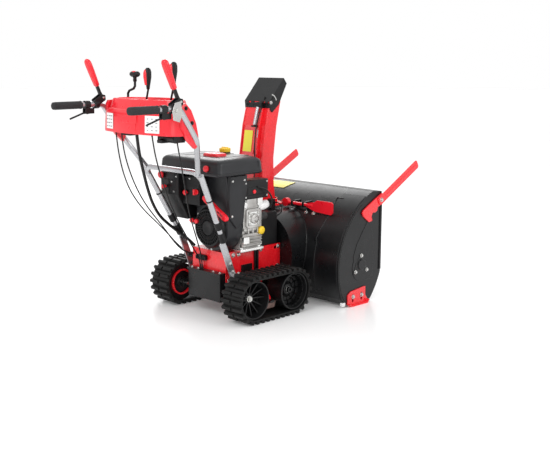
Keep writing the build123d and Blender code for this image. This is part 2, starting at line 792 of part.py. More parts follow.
def fan_housing():
    """Black blower housing behind the block, up to the underside of the tank."""
    shape = rod_y(fan_radius, engine_rear, fan_rear, crank_x, crank_z)
    shape += block(-64, 158, engine_rear, fan_rear, crank_z, tank_bottom - 3)
    hollow = rod_y(fan_radius - 4, engine_rear + 4, fan_rear - 4, crank_x, crank_z)
    hollow += block(-60, 154, engine_rear + 4, fan_rear - 4, crank_z, tank_bottom - 7)
    shape -= hollow
    shape -= rod_y(crank_radius + 6, engine_rear - 1, engine_rear + 5, crank_x, crank_z)
    return shape - rod_y(82, fan_rear - 5, fan_rear + 1, crank_x, crank_z)


def recoil_cover():
    """Round starter cover with radial vents and a slot for the pull rope."""
    cover = rod_y(recoil_radius, fan_rear, recoil_rear, crank_x, crank_z)
    cover = fillet(cover.edges().sort_by(Axis.Y)[0], 10)
    cover -= rod_y(recoil_radius - 4, fan_rear - 1, recoil_rear - 4, crank_x, crank_z)
    for number in range(24):
        vent = Pos(66, 0, 0) * Box(28, 20, 5)
        cover -= Pos(crank_x, y_at(recoil_rear), crank_z) * Rot(0, 15 * number, 0) * vent
    return cover


def crankshaft():
    shaft = rod_y(crank_radius, pulley_front, fan_rear - 4, crank_x, crank_z)
    return shaft + pulley(engine_pulley_radius, crank_x, crank_z)


def flywheel():
    """Flywheel with fan fins on its rear face."""
    wheel = rod_y(92, engine_rear + 14, engine_rear + 40, crank_x, crank_z)
    for number in range(12):
        fin = Pos(70, 0, 0) * Box(36, 22, 3)
        wheel += Pos(crank_x, y_at(engine_rear + 50), crank_z) * Rot(0, 30 * number, 0) * fin
    return wheel - rod_y(crank_radius, 700, 900, crank_x, crank_z)


def fuel_tank():
    tank = block(tank_left, tank_right, tank_front, tank_rear, tank_bottom, tank_top)
    tank = fillet(tank.edges().filter_by(Axis.Z), 22)
    tank = fillet(tank.edges().group_by(Axis.Z)[-1], 10)
    inner = block(tank_left + 12, tank_right - 12, tank_front + 12, tank_rear - 12,
                  tank_bottom + 8, tank_top - 8)
    tank -= fillet(inner.edges().filter_by(Axis.Z), 12)
    tank += rod_z(cap_neck, tank_top - 1, tank_top + 4, cap_x, cap_back)
    return tank - rod_z(cap_neck - 4, tank_top - 10, tank_top + 5, cap_x, cap_back)


def fuel_cap():
    """Screw cap with a grip rim, closed on top."""
    low = tank_top + 4 + running_gap
    cap = rod_z(cap_neck + 5, low, low + cap_height, cap_x, cap_back)
    for number in range(12):
        spot = Pos(cap_x, y_at(cap_back), low + cap_height / 2) * Rot(0, 0, 30 * number)
        cap += spot * Pos(cap_neck + 5, 0, 0) * Box(4, 5, cap_height)
    return cap + rod_z(cap_neck - 4 - running_gap, tank_top - 5, low + 1, cap_x, cap_back)


def control_box():
    """Carburettor cover on the left and ignition panel on the right, below the tank."""
    outline = [(engine_rear + 7, 664), (box_rear, 664), (box_rear, 560), (836, 440), (engine_rear + 7, 440)]
    box = profile_x(outline, -215, box_right)
    box -= block(-207, box_right - 8, engine_rear + 15, 828, 448, 656)
    box -= block(-225, -60, 700, fan_rear + running_gap, 430, 450)
    box -= rod_y(fan_radius + running_gap, 700, fan_rear + running_gap, crank_x, crank_z)
    box -= block(-64 - running_gap, 160, 700, fan_rear + running_gap, crank_z, 670)
    panel = block(box_right - 1, panel_right, fan_rear + running_gap, panel_rear, 520, 650)
    panel -= rod_y(recoil_radius + running_gap, 700, recoil_rear + running_gap, crank_x, crank_z)
    box += panel
    box -= block(throttle_x - 5, throttle_x + 5, box_rear - 40, box_rear + 1,
                 throttle_z - 26, throttle_z + 26)
    for x, z, rear, radius in panel_holes():
        box -= rod_y(radius + shaft_gap, rear - 24, rear + 1, x, z)
    return box


def panel_holes():
    return [(choke_x, choke_z, box_rear, 5), (primer_x, primer_z, panel_rear, 8),
            (key_x, key_z, panel_rear, 6)]


def choke_knob():
    return (rod_y(5, box_rear - 22, box_rear + 8, choke_x, choke_z)
            + rod_y(15, box_rear + 6, box_rear + 20, choke_x, choke_z))


def throttle_lever():
    """Lever that turns about a pin inside the box and stands out through its slot."""
    pivot = box_rear - 26
    lever = block(throttle_x - 3, throttle_x + 3, pivot - 6, box_rear + 14, throttle_z - 4, throttle_z + 4)
    lever += rod_x(7, throttle_x - 3, throttle_x + 3, pivot, throttle_z)
    lever += rod_y(9, box_rear + 12, box_rear + 26, throttle_x, throttle_z)
    return lever - rod_x(2 + shaft_gap, throttle_x - 10, throttle_x + 10, pivot, throttle_z)


def throttle_pin():
    return rod_x(2, throttle_x - 5, throttle_x + 5, box_rear - 26, throttle_z)


def primer_bulb():
    bulb = rod_y(8, panel_rear - 14, panel_rear + primer_travel + 2, primer_x, primer_z)
    dome = rod_y(13, panel_rear + primer_travel + 1, panel_rear + primer_travel + 11, primer_x, primer_z)
    return bulb + fillet(dome.edges().sort_by(Axis.Y)[0], 8)


def ignition_key():
    key = rod_y(6, panel_rear - 18, panel_rear + 4, key_x, key_z)
    key += rod_y(11, panel_rear + 0.5, panel_rear + 6, key_x, key_z)
    return key + block(key_x - 3, key_x + 3, panel_rear + 4, panel_rear + 24, key_z - 12, key_z + 12)


def starter_box():
    """Electric starter housing on the right side of the engine."""
    box = block(100, starter_x, starter_front, starter_rear, 562, starter_top)
    box += block(130, starter_x, starter_front, starter_rear, starter_bottom, 563)
    box -= rod_x(9 + shaft_gap, starter_x - 16, starter_x + 1, starter_button_back, starter_button_z)
    box += rod_y(24, starter_front - 24, starter_front + 1, 132, 598)
    return box


def start_button():
    return rod_x(9, starter_x - 8, starter_x + 6, starter_button_back, starter_button_z)


def oil_cap():
    """Dipstick cap, with its stick going down into the crankcase."""
    cap = rod_x(15, 150 + running_gap, 176, oil_back, oil_z)
    cap += rod_x(18, 160, 172, oil_back, oil_z)
    return cap + rod_x(4, 100, 152, oil_back, oil_z)


def oil_bore():
    return rod_x(4 + 0.5, 98, 160, oil_back, oil_z)


def recoil_handle():
    """Pull grip held against the starter cover, on its rope stub."""
    back = (panel_rear + recoil_rear) / 2
    bar = rod_between(at(44, back, 561), at(192, back, 476), 12)
    for x, z in ((44, 561), (192, 476)):
        bar += Pos(*at(x, back, z)) * Sphere(12)
    stem = rod_between(at(118, back, 518), at(98, back, 484), 9)
    return bar + stem + rod_y(6, recoil_rear + running_gap, back, 98, 484)


# ---- handles and console -------------------------------------------------------------------------
def lower_handle():
    """Lower handle: one tube bent to an upside-down U, with a flat strap at each foot."""
    left = [(-x, back, z) for x, back, z in (handle_corner, handle_foot)]
    radii = [handle_bend, handle_bend]
    return bent_tube([handle_foot, handle_corner] + left, radii, tube_radius, tube_radius - tube_wall)


def bend_middle():
    """Middle of the lower handle's right bend, on the tube's centre line."""
    corner = Vector(*handle_corner)
    down = (Vector(*handle_foot) - corner).normalized()
    across = Vector(-1, 0, 0)
    half = math.radians(down.get_angle(across)) / 2
    return tuple(corner + (down + across).normalized() * handle_bend * (1 / math.sin(half) - 1))


def leg_point(share):
    """Point on the line of the lower handle's right leg, from its foot to its corner."""
    return tuple(low + share * (high - low) for low, high in zip(handle_foot, handle_corner))


def handle_strap():
    """Flat steel foot of the lower handle, bolted to the side of the frame."""
    low = strap_x
    strap = profile_x([(838, 352), (816, 352), (810, 345), (748, 196), (764, 184), (784, 192), (846, 344)],
                      low, low + strap_thickness)
    for back, z in strap_bolts():
        strap -= rod_x(bolt_shank, low - 1, low + strap_thickness + 1, back, z)
    return strap


def strap_bolts():
    return [(784, 254), (768, 214)]


def handle_clamp():
    """Clamp that joins the lower handle's tube to its strap, with the spacers to the frame."""
    clamp = rod_between(at(*leg_point(0.01)), at(*leg_point(0.14)), tube_radius + 4)
    return clamp - rod_between(at(*leg_point(-0.1)), at(*leg_point(0.3)), tube_radius)


def handle_spacers():
    spacers = []
    for back, z in strap_bolts():
        spacers.append(rod_x(9, frame_half_width, strap_x, back, z))
    return spacers


def upper_handle():
    """Upper handle tube, from the grip forward and down to the bend of the lower handle."""
    points = [(grip_x, grip_reach - 4, grip_z), (grip_x, 1186, grip_z), (262, 1092, 848), bend_middle()]
    tube = bent_tube(points, [46, 90], tube_radius, tube_radius - tube_wall)
    left = [(-x, back, z) for x, back, z in (handle_corner, handle_foot)]
    tube -= bent_tube([handle_foot, handle_corner] + left, [handle_bend, handle_bend], tube_radius)
    return max(tube.solids(), key=lambda solid: solid.volume)


def grip():
    outer = rod_y(grip_radius, grip_reach - grip_length, grip_reach, grip_x, grip_z)
    return outer - rod_y(tube_radius, grip_reach - grip_length - 1, grip_reach - 4, grip_x, grip_z)


def console_outline(inset):
    wide = console_half_width - inset
    rear = console_rear - inset
    front = console_front + inset
    corners = (console_front_corner + inset, console_rear_corner)
    points = [(-wide, corners[0]), (-wide, corners[1]), (0, rear),
              (wide, corners[1]), (wide, corners[0]), (0, front)]
    flat = [(x, y_at(back)) for x, back in points]
    return make_face([Line(flat[0], flat[1]), ThreePointArc(flat[1], flat[2], flat[3]),
                      Line(flat[3], flat[4]), ThreePointArc(flat[4], flat[5], flat[0])])


def console():
    """Hollow plastic console with a sunken tray and slots for the levers."""
    height = console_top - console_bottom
    body = Pos(0, 0, console_bottom) * extrude(console_outline(0), height, dir=(0, 0, 1))
    inside = Pos(0, 0, console_bottom - 1) * extrude(
        console_outline(console_wall), tray_z - console_wall - console_bottom + 1, dir=(0, 0, 1))
    tray = Pos(0, 0, tray_z) * extrude(console_outline(18), console_top - tray_z + 1, dir=(0, 0, 1))
    body -= inside
    body -= tray
    body -= rod_z(crank_rod + 3, tray_z - 20, tray_z + 5, chute_crank_x, chute_crank_back)
    for x, back, half in ((speed_x, speed_back, 62), (tilt_x, tilt_back, 50)):
        body -= block(x - 6, x + 6, back - half, back + half, tray_z - 20, tray_z + 5)
    for side in (-1, 1):
        low, high = sorted((side * 140, side * 60))
        rib = block(low, high, console_front + 26, console_front + 30, 900, tray_z - console_wall)
        body += rib
    body += cross_member()
    return body


def cross_member():
    """Bar across the inside of the console that carries the lever pins."""
    inner = console_half_width - 1
    bar = block(-inner, inner, 1140, 1146, 884, 930)
    for x, back in ((speed_x, speed_back), (tilt_x, tilt_back)):
        for ear in (x - 12, x + 7):
            bar += block(ear, ear + 5, back - 8, 1141, 896, 916)
    bar += block(chute_crank_x - 14, chute_crank_x + 14, chute_crank_back - 14, 1141, 900, 910)
    bar += rod_x(3, speed_x - 8, speed_x + 8, speed_back, lever_axis_z)
    bar += rod_x(3, tilt_x - 8, tilt_x + 8, tilt_back, lever_axis_z)
    return bar - rod_z(crank_rod + shaft_gap, 890, 920, chute_crank_x, chute_crank_back)


def chute_crank():
    """Bent crank rod with a T-shaped knob that turns the chute."""
    shaft_points = [(chute_crank_x, chute_crank_back, 896), (chute_crank_x, chute_crank_back, 1032),
                    (chute_crank_x + 52, chute_crank_back, 1062), (chute_crank_x + 52, chute_crank_back, 1106)]
    crank = bent_tube(shaft_points, [12, 12], crank_rod)
    knob = rod_x(13, chute_crank_x + 26, chute_crank_x + 78, chute_crank_back, 1118)
    collar = rod_z(12, tray_z + 2, tray_z + 14, chute_crank_x, chute_crank_back)
    skirt = rod_z(9, 1086, 1108, chute_crank_x + 52, chute_crank_back)
    return crank + knob + collar + skirt


def shift_lever(x, back, lean_x, knob_z, knob_length):
    """Lever on a pin under the tray, with a long rounded knob."""
    elbow = at(x, back, console_top + 4)
    lever = rod_between(at(x, back, lever_axis_z), elbow, 4)
    lever += rod_between(elbow, at(x + lean_x, back, knob_z - knob_length / 2 + 8), 4)
    lever += Pos(*elbow) * Sphere(4)
    lever += rod_x(7, x - 6, x + 6, back, lever_axis_z)
    knob = Pos(*at(x + lean_x, back, knob_z)) * round_knob(knob_length)
    return lever + knob - rod_x(3 + shaft_gap, x - 20, x + 20, back, lever_axis_z)


def round_knob(length):
    """Round-ended knob as a stretched solid of revolution."""
    half = length / 2
    points = [(0, -half), (9, -half), (11, -half + 20), (18, half - 26), (14, half - 8), (0, half)]
    face = make_face(Plane.XZ * Polyline(*points, close=True))
    return revolve(face, Axis.Z)


def lever_bracket():
    """Clamp on the handle tube with the two ears and the pin of a clutch lever."""
    low, high = lever_pivot_back + 20, lever_pivot_back + 42
    clamp = rod_y(18, low, high, grip_x, grip_z)
    for x in (grip_x - 14, grip_x + 10.3):
        clamp += block(x, x + 3.7, lever_pivot_back - 10, high, grip_z + tube_radius + 2, lever_pivot_z + 9)
        clamp += block(x, x + 3.7, low, high, grip_z, lever_pivot_z + 9)
    clamp += rod_x(4, grip_x - 16, grip_x + 16, lever_pivot_back, lever_pivot_z)
    return clamp - rod_y(tube_radius, low - 1, high + 1, grip_x, grip_z)


def clutch_lever():
    """Hand lever over a grip: flat bar with a thick coated end, turning on the bracket's pin."""
    arm = rod_between((0, 0, 0), (0, -lever_length, 0), 6.5)
    coat = rod_between((0, -lever_length * 0.36, 0), (0, -lever_length + 2, 0), 10)
    boss = Rot(0, 90, 0) * Cylinder(9, 20)
    bore = Rot(0, 90, 0) * Cylinder(4 + shaft_gap, 30)
    tip = Pos(0, -lever_length + 2, 0) * Sphere(10)
    lever = Rot(-lever_angle, 0, 0) * (arm + coat + tip + boss - bore)
    return Pos(*at(grip_x, lever_pivot_back, lever_pivot_z)) * lever


def trigger_bracket():
    """Clamp under the handle tube that carries a steering trigger."""
    clamp = rod_y(17, trigger_back - 14, trigger_back + 12, grip_x, grip_z)
    for x in (grip_x - 11, grip_x + 6.3):
        clamp += block(x, x + 4.7, trigger_back - 12, trigger_back + 9, trigger_z - 9, grip_z)
    clamp += rod_x(3, grip_x - 12, grip_x + 12, trigger_back, trigger_z)
    clamp -= rod_y(tube_radius, trigger_back - 20, trigger_back + 20, grip_x, grip_z)
    return clamp


def steering_trigger():
    """Finger trigger below the grip that frees the track on its side."""
    arm = rod_between((0, 0, 0), (0, -trigger_length, 0), 4)
    boss = Rot(0, 90, 0) * Cylinder(8, 12)
    bore = Rot(0, 90, 0) * Cylinder(3 + shaft_gap, 20)
    lever = Rot(trigger_droop, 0, 0) * (arm + boss - bore)
    return Pos(*at(grip_x, trigger_back, trigger_z)) * lever


# ---- cables --------------------------------------------------------------------------------------
def control_cables():
    """Clutch, drive and steering cables, the chute cable and the thick engine wiring harness."""
    clutch = [(-188, 1172, 878), (-196, 1160, 812), (-209, 1136, 732), (-222, 1106, 660), (-234, 1068, 592),
              (-243, 1020, 530), (-246, 966, 472), (-240, 908, 418), (-228, 852, 360), (-210, 806, 302),
              (-182, 772, 262), (-148, 754, 246), (-115.9, 750, 242)]
    steering = [(-148, 1172, 878), (-158, 1158, 808), (-168, 1132, 732), (-174, 1100, 658), (-177, 1062, 586),
                (-176, 1018, 518), (-172, 968, 456), (-166, 918, 396), (-156, 878, 338), (-138, 848, 296),
                (-118, 820, 274), (-109, 790, 268)]
    drive = [(64, 1172, 878), (68, 1164, 806), (64, 1140, 730), (54, 1108, 658), (40, 1070, 590),
             (24, 1028, 524), (6, 980, 462), (-12, 930, 402), (-28, 880, 344), (-42, 836, 294),
             (-48, 808, 260), (-46, 802, 232), (-44, 802, 205.3)]
    shift = [(186, 1140, 878), (188, 1132, 820), (180, 1108, 748), (160, 1078, 680), (132, 1042, 614),
             (100, 1004, 552), (66, 962, 494), (34, 918, 438), (8, 876, 380), (-12, 840, 322),
             (-26, 814, 276), (-32, 804, 244), (-30, 802, 205.3)]
    chute_control = [(53, 406, 488), (82, 405, 494), (106, 404, 478), (110, 408, 450), (100, 422, 436),
                     (96, 438.6, 432)]
    harness = [(-8, 1196, 878), (-14, 1184, 800), (-34, 1146, 710), (-66, 1098, 622), (-104, 1040, 540),
               (-136, 972, 466), (-142, 906, 414), (-130, 860, 376), (-114, 816, 340), (-105, 784, 305.5)]
    thin = [("clutch", clutch), ("steering", steering), ("drive", drive), ("shift", shift),
            ("chute control", chute_control)]
    return [cable(name, points, 3) for name, points in thin] + [cable("harness", harness, 7)]


def cable_clip():
    """Clip on the rear plate of the frame that holds two of the cables."""
    return block(-64, -22, frame_rear, 797, 248, 270)


def frame_bolts():
    """Hexagon bolts on the sides of the frame and on the handle straps."""
    places = [(440, 286), (440, 190), (706, 284), (706, 190), (768, 166), (740, 284), (596, 190), (560, 286)]
    bolts = [hex_bolt_x(frame_half_width, back, z, 1) for back, z in places]
    for back, z in strap_bolts():
        bolts.append(hex_bolt_x(strap_x + strap_thickness, back, z, 1))
    return bolts


def bearing_bolts():
    bolts = []
    for back, z in ((155, 240), (112, 164), (198, 164)):
        bolts.append(hex_bolt_x(half_width + 4, back, z, 1))
    return bolts


def build():
    os.makedirs("parts", exist_ok=True)
    save("bucket_barrel", bucket_barrel())
    save("side_plates", side_plate(), mirrored(side_plate()))
    save("scraper_bar", scraper_bar())
    save("impeller_housing", impeller_housing())
    flange = bearing_flange()
    clips = [tool_clip(30), tool_clip(104)]
    save("bucket_fittings", flange, mirrored(flange), chute_bracket(), *clips)
    save("auger_gearbox", gearbox())
    save("cutter_brackets", cutter_bracket(), mirrored(cutter_bracket()))
    save("auger_shaft", auger_shaft())
    flight = auger_flight()
    save("auger_flights", flight, mirrored(flight))
    save("impeller", impeller())
    save("impeller_shaft", impeller_shaft())
    shoe = skid_shoe()
    save("skid_shoe_right", shoe)
    save("skid_shoe_left", mirrored(shoe))
    cutter = drift_cutter()
    save("drift_cutter_right", cutter)
    save("drift_cutter_left", mirrored(cutter))
    save("cleanout_tool", cleanout_tool())
    save("chute", chute())
    save("deflector", deflector())
    save("chassis", chassis())
    save("rear_cover", rear_cover())
    frame = track_frame()
    save("track_frames", frame, mirrored(frame))
    belt = track_belt()
    save("track_belts", belt, mirrored(belt))
    for name, wheel in (("idler_wheel", front_wheel()), ("drive_wheel", rear_wheel())):
        save(name + "_right", wheel)
        save(name + "_left", mirrored(wheel))
    save("belt_cover", belt_cover())
    save("drive_belt", drive_belt())
    save("engine_block", engine_block() - oil_bore())
    save("muffler", muffler())
    save("fan_housing", fan_housing())
    save("recoil_cover", recoil_cover())
    save("crankshaft", crankshaft())
    save("flywheel", flywheel())
    save("fuel_tank", fuel_tank())
    save("fuel_cap", fuel_cap())
    save("control_box", control_box(), throttle_pin())
    save("choke_knob", choke_knob())
    save("throttle_lever", throttle_lever())
    save("primer_bulb", primer_bulb())
    save("ignition_key", ignition_key())
    save("starter_box", starter_box())
    save("start_button", start_button())
    save("oil_cap", oil_cap())
    save("recoil_handle", recoil_handle())
    strap = handle_strap()
    save("lower_handle", lower_handle(), strap, mirrored(strap))
    upper = upper_handle()
    save("upper_handles", upper, mirrored(upper))
    clamp = handle_clamp()
    spacers = handle_spacers()
    spacers += [mirrored(spacer) for spacer in spacers]
    save("handle_clamps", clamp, mirrored(clamp), cable_clip(), *spacers)
    end_grip = grip()
    save("grips", end_grip, mirrored(end_grip))
    save("console", console())
    bracket = lever_bracket()
    trigger_mount = trigger_bracket()
    save("control_brackets", bracket, mirrored(bracket), trigger_mount, mirrored(trigger_mount))
    lever = clutch_lever()
    save("clutch_lever_right", lever)
    save("clutch_lever_left", mirrored(lever))
    trigger = steering_trigger()
    save("steering_trigger_right", trigger)
    save("steering_trigger_left", mirrored(trigger))
    save("chute_crank", chute_crank())
    save("speed_lever", shift_lever(speed_x, speed_back, 14, 1098, 95))
    save("deflector_lever", shift_lever(tilt_x, tilt_back, 24, 1124, 95))
    save("control_cables", *control_cables())
    bolts = frame_bolts() + bearing_bolts() + [cutter_bolt()]
    bolts += [skid_bolt(back) for back in skid_bolt_backs()]
    save("hex_bolts", *bolts, *[mirrored(bolt) for bolt in bolts])


build()
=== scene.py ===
import math

import bmesh
import bpy
from mathutils import Matrix, Vector


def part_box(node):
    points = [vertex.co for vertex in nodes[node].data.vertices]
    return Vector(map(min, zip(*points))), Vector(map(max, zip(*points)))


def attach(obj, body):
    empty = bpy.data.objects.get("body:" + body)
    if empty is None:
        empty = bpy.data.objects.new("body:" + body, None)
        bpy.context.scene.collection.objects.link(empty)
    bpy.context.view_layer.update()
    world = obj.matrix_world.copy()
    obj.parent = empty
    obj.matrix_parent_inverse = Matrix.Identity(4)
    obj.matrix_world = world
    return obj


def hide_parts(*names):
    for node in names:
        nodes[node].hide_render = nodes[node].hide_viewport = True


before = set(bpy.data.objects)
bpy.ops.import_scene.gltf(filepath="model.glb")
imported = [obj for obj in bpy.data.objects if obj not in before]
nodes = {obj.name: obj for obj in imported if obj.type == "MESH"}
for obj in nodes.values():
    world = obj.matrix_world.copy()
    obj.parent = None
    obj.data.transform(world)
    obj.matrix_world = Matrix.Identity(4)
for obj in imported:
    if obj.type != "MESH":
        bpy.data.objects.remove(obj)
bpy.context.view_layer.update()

# Places are given as (x, back, z) in millimetres: x to the operator's right, back from the bucket's
# front edge, z above the ground.
MM = 0.001
GRIP_REACH = 1447
FRONT_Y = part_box("grips")[0].y + GRIP_REACH * MM


def at(x, back, z):
    return Vector((x * MM, FRONT_Y - back * MM, z * MM))


# ---- materials -----------------------------------------------------------------------------------
COAT_ROUGHNESS = 0.1
# Where along the noise the first tone ends and the second begins.
TONE_LOW, TONE_HIGH = 0.35, 0.65


def new_material(name, colour, roughness, metallic=0.0, coat=0.0, specular=0.5):
    made = bpy.data.materials.new(name)
    made.use_nodes = True
    shader = made.node_tree.nodes["Principled BSDF"]
    shader.inputs["Base Color"].default_value = (*colour, 1)
    shader.inputs["Roughness"].default_value = roughness
    shader.inputs["Metallic"].default_value = metallic
    shader.inputs["Coat Weight"].default_value = coat
    shader.inputs["Coat Roughness"].default_value = COAT_ROUGHNESS
    shader.inputs["Specular IOR Level"].default_value = specular
    return made, shader


def noise(tree, scale, detail):
    """Noise on the object's own coordinates."""
    coordinates = tree.nodes.new("ShaderNodeTexCoord")
    texture = tree.nodes.new("ShaderNodeTexNoise")
    texture.inputs["Scale"].default_value = scale
    texture.inputs["Detail"].default_value = detail
    tree.links.new(coordinates.outputs["Object"], texture.inputs["Vector"])
    return texture.outputs["Fac"]


def mottle(tree, shader, factor, first, second):
    """Base colour that drifts between two close tones."""
    ramp = tree.nodes.new("ShaderNodeValToRGB")
    ramp.color_ramp.elements[0].position = TONE_LOW
    ramp.color_ramp.elements[0].color = (*first, 1)
    ramp.color_ramp.elements[1].position = TONE_HIGH
    ramp.color_ramp.elements[1].color = (*second, 1)
    tree.links.new(factor, ramp.inputs["Fac"])
    tree.links.new(ramp.outputs["Color"], shader.inputs["Base Color"])


def vary_roughness(tree, shader, factor, low, high):
    spread = tree.nodes.new("ShaderNodeMapRange")
    spread.inputs["From Min"].default_value = 0.3
    spread.inputs["From Max"].default_value = 0.7
    spread.inputs["To Min"].default_value = low
    spread.inputs["To Max"].default_value = high
    tree.links.new(factor, spread.inputs["Value"])
    tree.links.new(spread.outputs["Result"], shader.inputs["Roughness"])


def bump(tree, shader, factor, depth, strength=1.0):
    node = tree.nodes.new("ShaderNodeBump")
    node.inputs["Distance"].default_value = depth
    node.inputs["Strength"].default_value = strength
    tree.links.new(factor, node.inputs["Height"])
    tree.links.new(node.outputs["Normal"], shader.inputs["Normal"])


def surface(name, colour, second=None, roughness=(0.3, 0.4), metallic=0.0, coat=0.0, grain=900, depth=0.0002,
            patches=9, specular=0.5):
    """A finish with a fine grain, slow drifts of tone and uneven gloss."""
    made, shader = new_material(name, colour, roughness[0], metallic, coat, specular=specular)
    tree = made.node_tree
    second = second or tuple(min(1, c * 1.25 + 0.004) for c in colour)
    slow = noise(tree, patches, 4)
    mottle(tree, shader, slow, colour, second)
    vary_roughness(tree, shader, noise(tree, patches * 3.1, 5), *roughness)
    bump(tree, shader, noise(tree, grain, 2), depth, 0.6)
    return made


def build_materials():
    return {
        "bucket": surface("satin_black_paint", (0.004, 0.0042, 0.0048), (0.007, 0.0073, 0.008), (0.26, 0.34),
                          specular=0.3, grain=700, depth=0.00008),
        "red_paint": surface("red_gloss_paint", (0.72, 0.006, 0.012), (0.80, 0.010, 0.018), (0.22, 0.32),
                             coat=0.35, grain=800, depth=0.0001),
        "red_plastic": surface("red_moulded_plastic", (0.70, 0.008, 0.018), (0.78, 0.012, 0.026),
                               (0.26, 0.36),
                               grain=1600, depth=0.00008, coat=0.1),
        "black_paint": surface("black_paint", (0.004, 0.004, 0.0045), (0.007, 0.007, 0.0075), (0.28, 0.38),
                               specular=0.28, grain=700, depth=0.0001),
        "cover": surface("grey_black_plastic", (0.012, 0.0124, 0.014), (0.016, 0.0165, 0.019), (0.34, 0.42),
                         specular=0.34, grain=1800, depth=0.00012),
        "black_plastic": surface("black_plastic", (0.0045, 0.0045, 0.005), (0.008, 0.008, 0.0085),
                                 (0.36, 0.48),
                                 specular=0.28, grain=1500, depth=0.00016),
        "rubber": surface("track_rubber", (0.003, 0.003, 0.0032), (0.008, 0.0077, 0.0074), (0.46, 0.62),
                          specular=0.24, grain=600, depth=0.0003, patches=22),
        "cable": surface("cable_jacket", (0.004, 0.004, 0.004), (0.007, 0.007, 0.007), (0.35, 0.48),
                         grain=900,
                         specular=0.3),
        "grip": surface("grip_rubber", (0.014, 0.0145, 0.016), (0.02, 0.0205, 0.022), (0.5, 0.62), grain=1200,
                        specular=0.3, depth=0.0002),
        "aluminium": surface("cast_aluminium", (0.36, 0.35, 0.335), (0.60, 0.59, 0.575), (0.3, 0.46), 0.9,
                             grain=420, depth=0.0004, patches=11),
        "machined": surface("machined_aluminium", (0.72, 0.72, 0.71), (0.84, 0.84, 0.83), (0.16, 0.26), 1.0,
                            grain=900, depth=0.00006),
        "zinc": surface("zinc_plate", (0.50, 0.50, 0.49), (0.58, 0.575, 0.55), (0.22, 0.3), 1.0, grain=700,
                        depth=0.00003, patches=18),
        "tube": surface("silver_lacquer", (0.42, 0.425, 0.44), (0.47, 0.475, 0.49), (0.24, 0.3), 0.9,
                        coat=0.15,
                        grain=1000, depth=0.00002, patches=3),
        "steel": surface("plain_steel", (0.42, 0.42, 0.43), (0.55, 0.55, 0.56), (0.28, 0.42), 1.0, grain=500,
                         depth=0.0001, patches=30),
        "iron": surface("cast_iron", (0.02, 0.02, 0.021), (0.045, 0.044, 0.042), (0.45, 0.6), 0.2, grain=350,
                        depth=0.0006, patches=25),
        "rust_plate": surface("dull_bracket_steel", (0.16, 0.10, 0.085), (0.26, 0.17, 0.15), (0.4, 0.55), 0.5,
                              grain=400, depth=0.0003, patches=30),
        "yellow": surface("yellow_plastic", (0.78, 0.50, 0.012), (0.85, 0.58, 0.02), (0.3, 0.42), grain=1200,
                          depth=0.0001),
        "label": surface("yellow_label", (0.76, 0.70, 0.05), (0.80, 0.74, 0.08), (0.3, 0.4), grain=900,
                         depth=0.00003),
        "white_label": surface("white_label", (0.72, 0.72, 0.72), (0.80, 0.80, 0.80), (0.3, 0.4), grain=900,
                               depth=0.00003),
        # Near-black finish for label print; on the console it is also painted shade inside the lever slots.
        "print": surface("label_print_and_slot_shade", (0.02, 0.02, 0.02), (0.04, 0.04, 0.04), (0.4, 0.5), grain=900,
                         depth=0.00002),
        "white": surface("canister_paint", (0.70, 0.70, 0.70), (0.80, 0.80, 0.80), (0.2, 0.3), 0.0, coat=0.3,
                         grain=900, depth=0.00005),
    }


M = build_materials()


# ---- mesh helpers --------------------------------------------------------------------------------
def piece(name, mesh_source, finish, body="root", replaces=(), edge=0.0, segments=2, angle=32):
    """Turns a bmesh into a finished object that rides on a body."""
    bmesh.ops.remove_doubles(mesh_source, verts=mesh_source.verts[:], dist=1e-6)
    bmesh.ops.recalc_face_normals(mesh_source, faces=mesh_source.faces[:])
    mesh = bpy.data.meshes.new(name)
    mesh_source.to_mesh(mesh)
    mesh_source.free()
    made = bpy.data.objects.new(name, mesh)
    bpy.context.scene.collection.objects.link(made)
    finishes = finish if isinstance(finish, (list, tuple)) else [finish]
    for one in finishes:
        mesh.materials.append(M[one])
    if edge:
        bevel = made.modifiers.new("edges", "BEVEL")
        bevel.width = edge * MM
        bevel.segments = segments
        bevel.limit_method = "ANGLE"
        bevel.angle_limit = math.radians(angle)
        bevel.use_clamp_overlap = True
        bevel.harden_normals = False
    mesh.shade_smooth()
    mesh.set_sharp_from_angle(angle=math.radians(angle))
    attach(made, body)
    if replaces:
        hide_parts(*replaces)
    return made


def node_copy(node, finish, body, edge=1.0, segments=2, name=None):
    """The merged copy of a CAD node, with its edges rounded off."""
    shape = bmesh.new()
    shape.from_mesh(nodes[node].data)
    bmesh.ops.remove_doubles(shape, verts=shape.verts[:], dist=1e-5)
    bmesh.ops.dissolve_limit(shape, angle_limit=math.radians(0.6), verts=shape.verts[:], edges=shape.edges[:])
    return piece(name or node + "_body", shape, finish, body, (node,), edge, segments)


def add_box(shape, x_low, x_high, back_low, back_high, z_low, z_high):
    centre = at((x_low + x_high) / 2, (back_low + back_high) / 2, (z_low + z_high) / 2)
    size = Matrix.Diagonal(((x_high - x_low) * MM, (back_high - back_low) * MM, (z_high - z_low) * MM, 1))
    place = Matrix.Translation(centre) @ size
    return bmesh.ops.create_cube(shape, size=1, matrix=place)["verts"]


# A shape's own z axis runs to +X, to the back or up.
AXIS_TURN = {"x": Matrix.Rotation(math.pi / 2, 4, "Y"), "y": Matrix.Rotation(math.pi / 2, 4, "X"),
             "z": Matrix.Identity(4)}


def add_rod(shape, axis, centre, radius, length, sides=32):
    """A round bar centred at a place, along one axis."""
    place = Matrix.Translation(centre) @ AXIS_TURN[axis]
    return bmesh.ops.create_cone(shape, cap_ends=True, segments=sides, radius1=radius * MM,
                                 radius2=radius * MM,
                                 depth=length * MM, matrix=place)["verts"]


